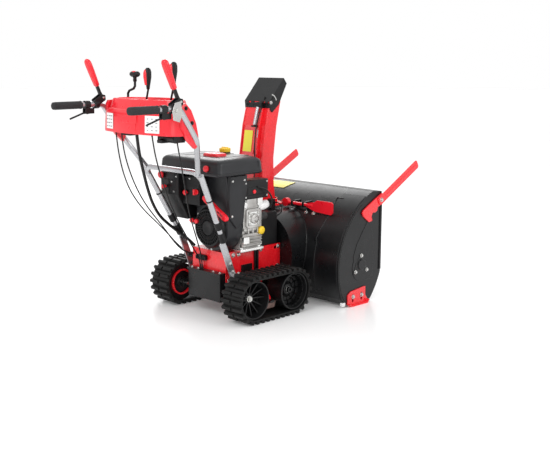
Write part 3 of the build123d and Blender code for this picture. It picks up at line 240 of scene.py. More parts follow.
def add_bar(shape, start, end, radius, sides=16, radius_end=None):
    """A round bar between two places."""
    run = end - start
    turn = run.to_track_quat("Z", "Y").to_matrix().to_4x4()
    place = Matrix.Translation((start + end) / 2) @ turn
    return bmesh.ops.create_cone(shape, cap_ends=True, segments=sides, radius1=radius * MM,
                                 radius2=(radius if radius_end is None else radius_end) * MM,
                                 depth=run.length, matrix=place)["verts"]


def add_ball(shape, centre, radius, sides=20, rings=10, scale=(1, 1, 1)):
    place = Matrix.Translation(centre) @ Matrix.Diagonal((*scale, 1))
    return bmesh.ops.create_uvsphere(shape, u_segments=sides, v_segments=rings, radius=radius * MM,
                                     matrix=place)["verts"]


def add_turned(shape, profile, axis, centre, steps=48):
    """A solid of revolution from (along, radius) points in millimetres, closed on its axis."""
    points = [shape.verts.new((radius * MM, 0, along * MM)) for along, radius in profile]
    edges = [shape.edges.new(pair) for pair in zip(points, points[1:])]
    bmesh.ops.spin(shape, geom=points + edges, cent=(0, 0, 0), axis=(0, 0, 1), angle=math.tau, steps=steps,
                   use_merge=True)
    linked = set(points)
    frontier = list(points)
    while frontier:
        vert = frontier.pop()
        for edge in vert.link_edges:
            other = edge.other_vert(vert)
            if other not in linked:
                linked.add(other)
                frontier.append(other)
    verts = list(linked)
    bmesh.ops.remove_doubles(shape, verts=verts, dist=1e-6)
    verts = [v for v in verts if v.is_valid]
    bmesh.ops.transform(shape, matrix=Matrix.Translation(centre) @ AXIS_TURN[axis], verts=verts)
    return verts


def add_plate(shape, outline, x_low, x_high):
    """A flat plate with an outline of (back, z) points, across the machine."""
    points = [shape.verts.new(at(x_low, back, z)) for back, z in outline]
    face = shape.faces.new(points)
    made = bmesh.ops.extrude_face_region(shape, geom=[face])
    verts = [g for g in made["geom"] if isinstance(g, bmesh.types.BMVert)]
    bmesh.ops.translate(shape, verts=verts, vec=((x_high - x_low) * MM, 0, 0))
    return points + verts


def add_prism(shape, points, offset):
    """A prism from world points, extruded by an offset in millimetres (x, back, z)."""
    verts = [shape.verts.new(p) for p in points]
    face = shape.faces.new(verts)
    made = bmesh.ops.extrude_face_region(shape, geom=[face])
    moved = [g for g in made["geom"] if isinstance(g, bmesh.types.BMVert)]
    x, back, z = offset
    bmesh.ops.translate(shape, verts=moved, vec=(x * MM, -back * MM, z * MM))
    return verts + moved


def mirror_all(shape):
    """Adds the mirror image of everything, left to right."""
    geometry = shape.verts[:] + shape.edges[:] + shape.faces[:]
    made = bmesh.ops.duplicate(shape, geom=geometry)
    verts = [g for g in made["geom"] if isinstance(g, bmesh.types.BMVert)]
    faces = [g for g in made["geom"] if isinstance(g, bmesh.types.BMFace)]
    bmesh.ops.scale(shape, vec=(-1, 1, 1), verts=verts)
    bmesh.ops.reverse_faces(shape, faces=faces)


def add_bolt(shape, centre, direction, size=8, height=5):
    """A flanged hexagon head whose base stands at a place."""
    turn = Vector(direction).to_track_quat("Z", "Y").to_matrix().to_4x4()
    base = Matrix.Translation(centre) @ turn
    place = base @ Matrix.Translation((0, 0, 0.8 * MM))
    bmesh.ops.create_cone(shape, cap_ends=True, segments=24, radius1=(size + 3) * MM,
                          radius2=(size + 2.4) * MM,
                          depth=1.6 * MM, matrix=place)
    place = base @ Matrix.Translation((0, 0, (1.6 + height / 2) * MM))
    made = bmesh.ops.create_cone(shape, cap_ends=True, segments=6, radius1=size * MM, radius2=size * MM,
                                 depth=height * MM, matrix=place)
    top = base @ Matrix.Translation((0, 0, (1.6 + height + 0.5) * MM))
    bmesh.ops.create_cone(shape, cap_ends=True, segments=20, radius1=size * 0.85 * MM,
                          radius2=size * 0.7 * MM, depth=1.0 * MM, matrix=top)
    return made


def smooth_curve(name, points, radius, finish, body="root", replaces=()):
    """A round tube along a smooth line through given places."""
    data = bpy.data.curves.new(name, "CURVE")
    data.dimensions = "3D"
    spline = data.splines.new("NURBS")
    spline.points.add(len(points) - 1)
    for point, place in zip(spline.points, points):
        point.co = (*at(*place), 1)
    spline.order_u = 3
    spline.use_endpoint_u = True
    spline.resolution_u = 8
    data.bevel_depth = radius * MM
    data.bevel_resolution = 5
    data.use_fill_caps = True
    curve = bpy.data.objects.new(name + "_line", data)
    bpy.context.scene.collection.objects.link(curve)
    bpy.context.view_layer.update()
    mesh = bpy.data.meshes.new_from_object(curve.evaluated_get(bpy.context.evaluated_depsgraph_get()))
    bpy.data.objects.remove(curve)
    shape = bmesh.new()
    shape.from_mesh(mesh)
    bpy.data.meshes.remove(mesh)
    return piece(name, shape, finish, body, replaces)


# ---- stage ---------------------------------------------------------------------------------------
def build_stage():
    floor_shape = bmesh.new()
    bmesh.ops.create_circle(floor_shape, cap_ends=True, segments=96, radius=30)
    floor_mesh = bpy.data.meshes.new("floor")
    floor_shape.to_mesh(floor_mesh)
    floor_shape.free()
    floor = bpy.data.objects.new("floor", floor_mesh)
    bpy.context.scene.collection.objects.link(floor)
    pale, shader = new_material("pale_floor", (0.92, 0.92, 0.92), 0.22, specular=0.35)
    shader.inputs["Emission Color"].default_value = (1, 1, 1, 1)
    shader.inputs["Emission Strength"].default_value = 0.07
    bump(pale.node_tree, shader, noise(pale.node_tree, 3, 2), 0.0004, 0.2)
    floor_mesh.materials.append(pale)
    world = bpy.data.worlds.new("studio")
    world.use_nodes = True
    world.node_tree.nodes["Background"].inputs["Color"].default_value = (1.0, 1.0, 1.0, 1)
    world.node_tree.nodes["Background"].inputs["Strength"].default_value = 1.0
    bpy.context.scene.world = world
    bpy.context.scene.view_settings.view_transform = "Standard"
    lamps = [("key", (0.6, -3.4, 3.2), 2.2, 60), ("side", (4.2, 0.8, 2.4), 2.0, 45),
             ("rim", (-3.2, 2.6, 3.0), 2.4, 70),
             ("low", (2.4, -3.0, 0.5), 1.6, 14)]
    for name, place, size, power in lamps:
        data = bpy.data.lights.new(name, "AREA")
        data.energy = power
        data.shape = "DISK"
        data.size = size
        lamp = bpy.data.objects.new(name, data)
        lamp.location = place
        lamp.rotation_euler = (Vector((0, 0, 0.45)) - Vector(place)).to_track_quat("-Z", "Y").to_euler()
        bpy.context.scene.collection.objects.link(lamp)


def build_camera():
    data = bpy.data.cameras.new("camera")
    data.lens = 61.3
    data.sensor_width = 36
    data.shift_x = 0.068
    data.shift_y = -0.021
    camera = bpy.data.objects.new("camera", data)
    camera.location = (3.1839, -3.0950, 1.2010)
    camera.rotation_euler = (math.radians(90 - 9.62), 0, math.radians(45.97))
    bpy.context.scene.collection.objects.link(camera)
    bpy.context.scene.camera = camera


# ---- CAD nodes whose shape is kept, with rounded edges ---------------------------------------------
KEPT = [
    # node, finish, body, slot, edge radius
    ("scraper_bar", "steel", "root", "steel", 0.8),
    ("auger_gearbox", "iron", "root", "cast_iron", 4),
    ("auger_shaft", "steel", "auger", "steel", 1),
    ("auger_flights", "black_paint", "auger", "auger_black", 0.8),
    ("impeller", "red_paint", "impeller_rotor", "auger_black", 0.8),
    ("impeller_shaft", "steel", "impeller_rotor", "steel", 0.8),
    ("crankshaft", "steel", "engine_rotor", "steel", 0.8),
    ("flywheel", "iron", "engine_rotor", "cast_iron", 0.8),
    ("drive_belt", "cable", "root", "belt_rubber", 0.8),
    ("belt_cover", "black_plastic", "root", "black_plastic", 5),
    ("cutter_brackets", "red_paint", "root", "red_paint", 2),
    ("bucket_fittings", "bucket", "root", "red_paint", 1.5),
    ("chassis", "red_paint", "root", "red_paint", 1),
    ("track_frames", "black_paint", "root", "frame_black", 1.5),
    ("muffler", "iron", "root", "muffler_steel", 1.2),
    ("throttle_lever", "red_plastic", "throttle_lever", "black_plastic", 1),
    ("start_button", "red_plastic", "start_button", "red_plastic", 1.2),
    ("steering_trigger_left", "black_plastic", "steering_trigger_left", "trigger_black", 1),
    ("steering_trigger_right", "black_plastic", "steering_trigger_right", "trigger_black", 1),
    ("handle_clamps", "black_plastic", "root", "frame_black", 1.5),
]


def build_kept():
    for node, finish, body, slot, edge in KEPT:
        node_copy(node, finish, body, edge)


# ---- shapes used by several pieces ---------------------------------------------------------------
def add_loft(shape, rings, cap_start=True, cap_end=True):
    """Skins a row of rings that have the same number of places each."""
    loops = [[shape.verts.new(place) for place in ring] for ring in rings]
    for first, second in zip(loops, loops[1:]):
        for a, b, c, d in zip(first, first[1:] + first[:1], second[1:] + second[:1], second):
            shape.faces.new((a, b, c, d))
    if cap_start:
        shape.faces.new(loops[0])
    if cap_end:
        shape.faces.new(loops[-1])
    return [vert for loop in loops for vert in loop]


def arc(centre, radius, start, end, steps):
    """Points on an arc, in degrees, in any flat pair of coordinates."""
    angles = [math.radians(start + (end - start) * n / steps) for n in range(steps + 1)]
    return [(centre[0] + radius * math.cos(a), centre[1] + radius * math.sin(a)) for a in angles]


def round_box(low, high, radius):
    """Outline of a rectangle with round corners."""
    corners = [((high[0] - radius, high[1] - radius), 0), ((low[0] + radius, high[1] - radius), 90),
               ((low[0] + radius, low[1] + radius), 180), ((high[0] - radius, low[1] + radius), 270)]
    return [point for centre, start in corners for point in arc(centre, radius, start, start + 90, 5)]


def add_sector(shape, back, z, inner, outer, start, end, x_low, x_high, steps=4):
    """A raised part of a ring round an axle, between two angles in degrees."""
    outline = arc((back, z), outer, start, end, steps) + arc((back, z), inner, end, start, steps)
    return add_plate(shape, outline, x_low, x_high)


# ---- tracks --------------------------------------------------------------------------------------
AXLE_Z = 111
REAR_AXLE = 781
FRONT_AXLE = 523
BELT_INNER = 90
BELT_OUTER = 98
TRACK_X = 191
TRACK_WIDTH = 123
LUG_COUNT = 34
LUG_HEIGHT = 13
WHEEL_RADIUS = 89.7
WHEEL_FACE = 244
HUB_END = 262


def stadium(radius):
    rear = arc((REAR_AXLE, AXLE_Z), radius, -90, 90, 20)
    front = arc((FRONT_AXLE, AXLE_Z), radius, 90, 270, 20)
    top = [(REAR_AXLE + (FRONT_AXLE - REAR_AXLE) * n / 8, AXLE_Z + radius) for n in range(1, 8)]
    bottom = [(FRONT_AXLE + (REAR_AXLE - FRONT_AXLE) * n / 8, AXLE_Z - radius) for n in range(1, 8)]
    return rear + top + front + bottom


def track_spot(along):
    """Place on the outside of the belt and the turn of a bar there."""
    span = REAR_AXLE - FRONT_AXLE
    half = math.pi * BELT_OUTER
    if along < span:
        return REAR_AXLE - along, AXLE_Z + BELT_OUTER, 0
    along -= span
    if along < half:
        turn = along / BELT_OUTER
        return FRONT_AXLE - BELT_OUTER * math.sin(turn), AXLE_Z + BELT_OUTER * math.cos(turn), turn
    along -= half
    if along < span:
        return FRONT_AXLE + along, AXLE_Z - BELT_OUTER, math.pi
    turn = (along - span) / BELT_OUTER
    return REAR_AXLE + BELT_OUTER * math.sin(turn), AXLE_Z - BELT_OUTER * math.cos(turn), math.pi + turn


def add_lug(shape, x_low, x_high, height, foot, crown):
    """One tread block at the origin: its foot sits on the belt, narrower at the crown."""
    verts = bmesh.ops.create_cube(shape, size=1)["verts"]
    for vert in verts:
        top = vert.co.z > 0
        width = crown if top else foot
        vert.co = ((x_low if vert.co.x < 0 else x_high) * MM, math.copysign(width / 2, vert.co.y) * MM,
                   (height if top else -1.0) * MM)
    return verts


def track_belt(side):
    shape = bmesh.new()
    rings = []
    for x, radius in ((TRACK_X, BELT_INNER), (TRACK_X, BELT_OUTER - 2), (TRACK_X + 2, BELT_OUTER),
                      (TRACK_X + TRACK_WIDTH - 2, BELT_OUTER), (TRACK_X + TRACK_WIDTH, BELT_OUTER - 2),
                      (TRACK_X + TRACK_WIDTH, BELT_INNER), (TRACK_X, BELT_INNER)):
        rings.append([at(x, back, z) for back, z in stadium(radius)])
    add_loft(shape, rings, False, False)
    length = 2 * (REAR_AXLE - FRONT_AXLE) + math.tau * BELT_OUTER
    low, high = TRACK_X, TRACK_X + TRACK_WIDTH
    middle = (low + high) / 2
    for number in range(LUG_COUNT):
        back, z, turn = track_spot(length * (number + 0.5) / LUG_COUNT)
        place = Matrix.Translation(at(0, back, z)) @ Matrix.Rotation(-turn, 4, "X")
        lug = add_lug(shape, low + 2, high - 2, LUG_HEIGHT * 0.45, 20, 16)
        lug += add_lug(shape, low - 1, middle - 5, LUG_HEIGHT, 21, 13)
        lug += add_lug(shape, middle + 5, high + 1, LUG_HEIGHT, 21, 13)
        bmesh.ops.transform(shape, matrix=place, verts=lug)
    if side < 0:
        bmesh.ops.scale(shape, vec=(-1, 1, 1), verts=shape.verts[:])
    name = "track_belt_right" if side > 0 else "track_belt_left"
    piece(name, shape, "rubber", "root", ("track_belts",), edge=1.6, segments=2, angle=40)


def wheel_profile(rim_depth):
    """Half section of a wheel's rim and web, as (x, radius), closed round its bore."""
    low = TRACK_X + 9.5
    high = low + 104
    return [(low, 24), (low + 6, 26), (low + 8, 60), (low + 2, WHEEL_RADIUS - 6), (low, WHEEL_RADIUS - 3),
            (low + 3, WHEEL_RADIUS), (high - 3, WHEEL_RADIUS), (high, WHEEL_RADIUS - 3),
            (high - 1, WHEEL_RADIUS - 8),
            (WHEEL_FACE + rim_depth, WHEEL_RADIUS - 12), (WHEEL_FACE, WHEEL_RADIUS - 18), (WHEEL_FACE, 34),
            (WHEEL_FACE + 8, 30), (HUB_END - 2, 26), (HUB_END - 0.4, 22), (HUB_END - 0.4, 10.4), (low, 10.4)]


def add_wheel_body(shape, profile, back):
    """A ring-shaped body turned about an axle."""
    points = [shape.verts.new((0, radius * MM, x * MM)) for x, radius in profile]
    edges = [shape.edges.new(pair) for pair in zip(points, points[1:] + points[:1])]
    bmesh.ops.spin(shape, geom=points + edges, cent=(0, 0, 0), axis=(0, 0, 1), angle=math.tau, steps=64,
                   use_merge=True)
    place = Matrix.Translation(at(0, back, AXLE_Z)) @ AXIS_TURN["x"]
    bmesh.ops.transform(shape, matrix=place, verts=shape.verts[:])


def finish_wheel(shape, side, name, body, node):
    if side < 0:
        bmesh.ops.scale(shape, vec=(-1, 1, 1), verts=shape.verts[:])
    piece(name, shape, "black_plastic", body, (node,), edge=0.8, angle=35)


def idler_wheel(side):
    """Front wheel: a closed drum whose face has two rows of raised segments."""
    word = "right" if side > 0 else "left"
    shape = bmesh.new()
    add_wheel_body(shape, wheel_profile(30), FRONT_AXLE)
    for number in range(12):
        start = 30 * number + 2.5
        add_sector(shape, FRONT_AXLE, AXLE_Z, 38, 55, start, start + 25, WHEEL_FACE - 1, WHEEL_FACE + 9)
        add_sector(shape, FRONT_AXLE, AXLE_Z, 57.5, 72, start, start + 25, WHEEL_FACE - 1, WHEEL_FACE + 16)
    for number in range(24):
        start = 15 * number + 1.5
        add_sector(shape, FRONT_AXLE, AXLE_Z, 74.5, 82, start, start + 12, WHEEL_FACE + 4, WHEEL_FACE + 42, 3)
    finish_wheel(shape, side, f"idler_wheel_{word}_drum", f"idler_wheel_{word}", f"idler_wheel_{word}")


def drive_wheel(side):
    """Rear wheel: ten deep fins between hub and rim, a red ring inside and the end of the axle."""
    word = "right" if side > 0 else "left"
    body = f"drive_wheel_{word}"
    shape = bmesh.new()
    add_wheel_body(shape, wheel_profile(22), REAR_AXLE)
    for number in range(12):
        fin = add_box(shape, WHEEL_FACE - 6, WHEEL_FACE + 34, REAR_AXLE - 2.6, REAR_AXLE + 2.6, AXLE_Z + 20,
                      AXLE_Z + WHEEL_RADIUS - 11)
        for vert in fin:
            outer_low = vert.co.x > WHEEL_FACE * MM + 0.01 and vert.co.z < (AXLE_Z + 40) * MM
            if outer_low:
                vert.co.x -= 16 * MM
        centre = Matrix.Translation(at(0, REAR_AXLE, AXLE_Z))
        turn = centre @ Matrix.Rotation(math.radians(30 * number), 4, "X") @ centre.inverted()
        bmesh.ops.transform(shape, matrix=turn, verts=fin)
    for number in range(12):
        start = 30 * number + 19
        add_sector(shape, REAR_AXLE, AXLE_Z, 62, 76, start, start + 22, WHEEL_FACE - 1, WHEEL_FACE + 7)
    finish_wheel(shape, side, body + "_drum", body, body)
    ring = bmesh.new()
    low = TRACK_X + 9.5
    for number in range(36):
        add_sector(ring, REAR_AXLE, AXLE_Z, 55, 63, 10 * number, 10 * number + 10, low - 4, low + 8, 2)
    bmesh.ops.remove_doubles(ring, verts=ring.verts[:], dist=1e-6)
    if side < 0:
        bmesh.ops.scale(ring, vec=(-1, 1, 1), verts=ring.verts[:])
    piece(body + "_inner_ring", ring, "red_paint", body, edge=0.8, angle=50)
    shaft = bmesh.new()
    add_rod(shaft, "x", at((12 + HUB_END) / 2, REAR_AXLE, AXLE_Z), 10, HUB_END - 12)
    add_axle_end(shaft, REAR_AXLE)
    if side < 0:
        bmesh.ops.scale(shaft, vec=(-1, 1, 1), verts=shaft.verts[:])
    piece(body + "_shaft", shaft, "zinc", body, edge=0.6)


def add_axle_end(shape, back):
    """Washer, flanged nut and thread end outside a wheel's hub."""
    add_rod(shape, "x", at(HUB_END + 1.2, back, AXLE_Z), 15, 2)
    nut = add_rod(shape, "x", at(HUB_END + 6.2, back, AXLE_Z), 12.5, 8, 6)
    bmesh.ops.rotate(shape, cent=at(0, back, AXLE_Z), matrix=Matrix.Rotation(0.4, 3, "X"), verts=nut)
    add_rod(shape, "x", at(HUB_END + 11.5, back, AXLE_Z), 7, 5)


def track_hardware():
    shape = bmesh.new()
    add_axle_end(shape, FRONT_AXLE)
    mirror_all(shape)
    piece("idler_axle_ends", shape, "zinc", "root", edge=0.6)
    bracket = bmesh.new()
    add_plate(bracket, [(612, 196), (700, 196), (690, 130), (676, 84), (634, 84), (622, 130)], 171, 186)
    add_plate(bracket, [(648, 120), (672, 120), (690, 92), (690, 66), (630, 66), (630, 92)], 186, 252)
    mirror_all(bracket)
    piece("track_brackets", bracket, "red_paint", "root", edge=2)
    guide = bmesh.new()
    add_plate(guide, [(600, 74), (706, 74), (690, 40), (616, 40)], 196, 262)
    mirror_all(guide)
    piece("track_guides", guide, "rust_plate", "root", edge=4)


def build_tracks():
    for side in (-1, 1):
        track_belt(side)
        idler_wheel(side)
        drive_wheel(side)
    track_hardware()


# ---- bucket --------------------------------------------------------------------------------------
BUCKET_HALF = 400
SIDE_SHEET = 4
SHOULDER = ((70, 546), (213, 455), (310, 304))
HEEL_END = (296, 42)
HOUSING_Z = 245
HOUSING_RADIUS = 195


def circle_through(a, b, c):
    """Centre and radius of the circle through three points."""
    d = 2 * (a[0] * (b[1] - c[1]) + b[0] * (c[1] - a[1]) + c[0] * (a[1] - b[1]))
    sums = [p[0] ** 2 + p[1] ** 2 for p in (a, b, c)]
    x = (sums[0] * (b[1] - c[1]) + sums[1] * (c[1] - a[1]) + sums[2] * (a[1] - b[1])) / d
    y = (sums[0] * (c[0] - b[0]) + sums[1] * (a[0] - c[0]) + sums[2] * (b[0] - a[0])) / d
    return (x, y), math.dist((x, y), a)


def angle_of(centre, point):
    return math.degrees(math.atan2(point[1] - centre[1], point[0] - centre[0]))


def bucket_back():
    """The bucket's top and back from the side: (back, z) points from the front edge to the heel."""
    centre, radius = circle_through(*SHOULDER)
    shoulder = arc(centre, radius, angle_of(centre, SHOULDER[0]), angle_of(centre, SHOULDER[2]), 14)
    # The heel's arc goes on from the shoulder without a corner.
    heading = math.atan2(SHOULDER[2][1] - centre[1], SHOULDER[2][0] - centre[0])
    away = (math.cos(heading), math.sin(heading))
    chord = (HEEL_END[0] - SHOULDER[2][0], HEEL_END[1] - SHOULDER[2][1])
    heel_radius = -(chord[0] ** 2 + chord[1] ** 2) / (2 * (chord[0] * away[0] + chord[1] * away[1]))
    heel = (SHOULDER[2][0] - heel_radius * away[0], SHOULDER[2][1] - heel_radius * away[1])
    lower = arc(heel, heel_radius, angle_of(heel, SHOULDER[2]), angle_of(heel, HEEL_END), 14)
    return [(0, 540)] + shoulder + lower[1:] + [(270, 12)]


def inward(points, depth):
    """The same line, moved towards the inside of the bucket."""
    moved = []
    for n, point in enumerate(points):
        before, after = points[max(0, n - 1)], points[min(len(points) - 1, n + 1)]
        run = (after[0] - before[0], after[1] - before[1])
        size = math.hypot(*run)
        moved.append((point[0] + run[1] / size * depth, point[1] - run[0] / size * depth))
    return moved


def rising(points, depth):
    return inward(points, -depth)


def add_strip(shape, line, thickness, x_low, x_high):
    """A curved sheet that follows a side-view line, with its thickness inwards."""
    outline = line + list(reversed(inward(line, thickness)))
    return add_plate(shape, outline, x_low, x_high)


def bucket_barrel():
    shape = bmesh.new()
    shape.from_mesh(nodes["bucket_barrel"].data)
    bmesh.ops.remove_doubles(shape, verts=shape.verts[:], dist=1e-5)
    bmesh.ops.dissolve_limit(shape, angle_limit=math.radians(0.6), verts=shape.verts[:], edges=shape.edges[:])
    piece("bucket_sheet", shape, "bucket", "root", ("bucket_barrel",), edge=0.8)
    line = bucket_back()
    wings = bmesh.new()
    # The outer part of the back stands a little proud, and its edge is the crease.
    wing = [point for point in line if point[0] > 96 and point[1] > 30]
    add_strip(wings, rising(wing, 2.2), 3.4, 252, BUCKET_HALF - 5)
    mirror_all(wings)
    piece("bucket_wings", wings, "bucket", "root", edge=1.8, segments=3)
    crease = bmesh.new()
    turns = [(240 + 24 * math.sin((back - 150) / 50), back, back_slope(line, back))
             for back in range(150, 305, 7)]
    turns += [(252, back, z) for back, z in line if 110 < z < turns[-1][2] - 4]
    turns = [(282, *turns[0][1:])] + turns
    for (x1, b1, z1), (x2, b2, z2) in zip(turns, turns[1:]):
        add_bar(crease, at(x1, b1 + 0.8, z1 + 0.8), at(x2, b2 + 0.8, z2 + 0.8), 3.4, 12)
        add_ball(crease, at(x1, b1 + 0.8, z1 + 0.8), 3.4, 12, 8)
    mirror_all(crease)
    piece("bucket_creases", crease, "bucket", "root")
    lip = bmesh.new()
    add_strip(lip, rising(line[:2], 1), 7, -BUCKET_HALF + 4, BUCKET_HALF - 4)
    add_box(lip, -BUCKET_HALF + 4, BUCKET_HALF - 4, -1, 3, 518, 538)
    piece("bucket_front_fold", lip, "bucket", "root", edge=1.0)
    # Rolled joint between the drum of the impeller and the bucket.
    rim = bmesh.new()
    crown = []
    for degrees in range(-52, 233, 6):
        angle = math.radians(degrees)
        x, z = HOUSING_RADIUS * math.cos(angle), HOUSING_Z + HOUSING_RADIUS * math.sin(angle)
        crown.append((x, back_at(line, z), z))
    for (x1, b1, z1), (x2, b2, z2) in zip(crown, crown[1:]):
        add_bar(rim, at(x1, b1 + 1, z1), at(x2, b2 + 1, z2), 4, 10)
        add_ball(rim, at(x2, b2 + 1, z2), 4, 10, 6)
    piece("housing_seam", rim, "bucket", "root")
    bolts = bmesh.new()
    for x in (115, 164):
        add_bolt(bolts, at(x, back_at(line, 428) + 0, 428), (0, -0.75, 0.62), 7, 5)
    piece("bucket_bolts", bolts, "zinc", "root", edge=0.5)


def back_at(line, z):
    """How far back the bucket's sheet is at a height."""
    for (b1, z1), (b2, z2) in zip(line[1:], line[2:]):
        if z2 <= z <= z1:
            return b1 + (b2 - b1) * (z1 - z) / max(z1 - z2, 1e-6)
    return line[-1][0]


def side_outline():
    front = circle_through((76, 12), (24, 85), (0, 137))
    toe = arc(front[0], front[1], angle_of(front[0], (76, 12)), angle_of(front[0], (0, 137)), 8)
    return bucket_back() + toe


def side_plates():
    shape = bmesh.new()
    add_plate(shape, side_outline(), BUCKET_HALF - SIDE_SHEET, BUCKET_HALF)
    line = [point for point in bucket_back() if point[0] > 150]
    for inner, outer, height in ((0, 5, 5), (11, 15, 1.6)):
        flange = inward(line, inner) + list(reversed(inward(line, outer)))
        add_plate(shape, flange, BUCKET_HALF - 1, BUCKET_HALF + height)
    panel = ([(88, 398)] + arc((104, 392), 12, 90, 20, 4)[1:] + [(150, 352), (188, 300), (214, 240)]
             + arc((150, 182), 70, 30, -70, 8) + arc((92, 144), 32, -90, -170, 4) + [(58, 200), (62, 300),
                                                                                     (76, 372)])
    add_plate(shape, panel, BUCKET_HALF - 1, BUCKET_HALF + 2)
    for low, high, x in ((0, 12, 4), (16, 18, 2)):
        add_plate(shape, [(low, 530), (high, 530), (high, 150), (low, 150)], BUCKET_HALF - 1, BUCKET_HALF + x)
    mirror_all(shape)
    piece("side_panels", shape, "bucket", "root", ("side_plates",), edge=1.4, segments=3,
          angle=40)
    marks = bmesh.new()
    add_box(marks, BUCKET_HALF + 1, BUCKET_HALF + 2.6, 112, 190, 152, 157)
    mirror_all(marks)
    piece("side_label_strips", marks, "white_label", "root", edge=0.2)
    clip = bmesh.new()
    add_box(clip, BUCKET_HALF - 10, BUCKET_HALF + 6, 272, 294, 8, 26)
    mirror_all(clip)
    piece("skirt_clips", clip, "white_label", "root", edge=2)


def bucket_labels():
    line = bucket_back()
    shape = bmesh.new()
    backs = [84 + 6.5 * n for n in range(9)]
    for b1, b2 in zip(backs, backs[1:]):
        corners = []
        for back, shares in ((b1, (0, 1)), (b2, (1, 0))):
            slant = (back - backs[0]) / (backs[-1] - backs[0])
            sides = (-262, -98 - 38 * slant)
            for share in shares:
                corners.append(at(sides[share], back + 1.0, back_slope(line, back) + 1.2))
        add_prism(shape, corners, (0, 0.8, 1.0))
    piece("bucket_label", shape, "label", "root")


def back_slope(line, back):
    """Height of the bucket's top sheet at a distance back."""
    for (b1, z1), (b2, z2) in zip(line, line[1:]):
        if b1 <= back <= b2:
            return z1 + (z2 - z1) * (back - b1) / (b2 - b1)
    return line[-1][1]


def drift_cutters():
    for word in ("right", "left"):
        node = f"drift_cutter_{word}"
        node_copy(node, "red_paint", node, 1.5)


def skid_shoes():
    for word in ("right", "left"):
        node = f"skid_shoe_{word}"
        node_copy(node, "red_paint", node, 1.2)


def build_bucket():
    bucket_barrel()
    side_plates()
    bucket_labels()
    drift_cutters()
    skid_shoes()
    node_copy("impeller_housing", "bucket", "root", 2.5, 3)
    node_copy("cleanout_tool", "red_plastic", "cleanout_tool", 2.5, 3)


# ---- bolts ---------------------------------------------------------------------------------------
FRAME_HALF = 115
STRAP_X = 144


def bolts():
    shape = bmesh.new()
    for back, z in ((440, 286), (440, 190), (706, 284), (706, 190), (768, 166), (740, 284), (596, 190),
                    (560, 286)):
        add_bolt(shape, at(FRAME_HALF, back, z), (1, 0, 0))
    for back, z in ((784, 254), (768, 214)):
        add_bolt(shape, at(STRAP_X, back, z), (1, 0, 0))
    for back, z in ((155, 240), (112, 164), (198, 164)):
        add_bolt(shape, at(BUCKET_HALF + 4, back, z), (1, 0, 0), 7, 5)
    for back in (150, 215):
        add_bolt(shape, at(BUCKET_HALF + 5.6, back, 44), (1, 0, 0))
    add_rod(shape, "x", at(BUCKET_HALF + 10, 20, 500), 5, 12)
    add_bolt(shape, at(BUCKET_HALF + 14.6, 20, 500), (1, 0, 0))
    mirror_all(shape)
    piece("bolt_heads", shape, "zinc", "root", ("hex_bolts",), edge=0.5)


# ---- chute ---------------------------------------------------------------------------------------
CHUTE_X = -85
CHUTE_BACK = 352
CHUTE_HALF = 80
CHUTE_REAR = [(75, 470), (75, 700), (52, 856), (19, 977)]


def chute_rear(z, outwards=0.0):
    """Place on the chute's back panel at a height, as (back, z)."""
    for (b1, z1), (b2, z2) in zip(CHUTE_REAR, CHUTE_REAR[1:]):
        if z <= z2:
            share = (z - z1) / (z2 - z1)
            return CHUTE_BACK + b1 + (b2 - b1) * share + outwards, z
    return CHUTE_BACK + CHUTE_REAR[-1][0] + outwards, z


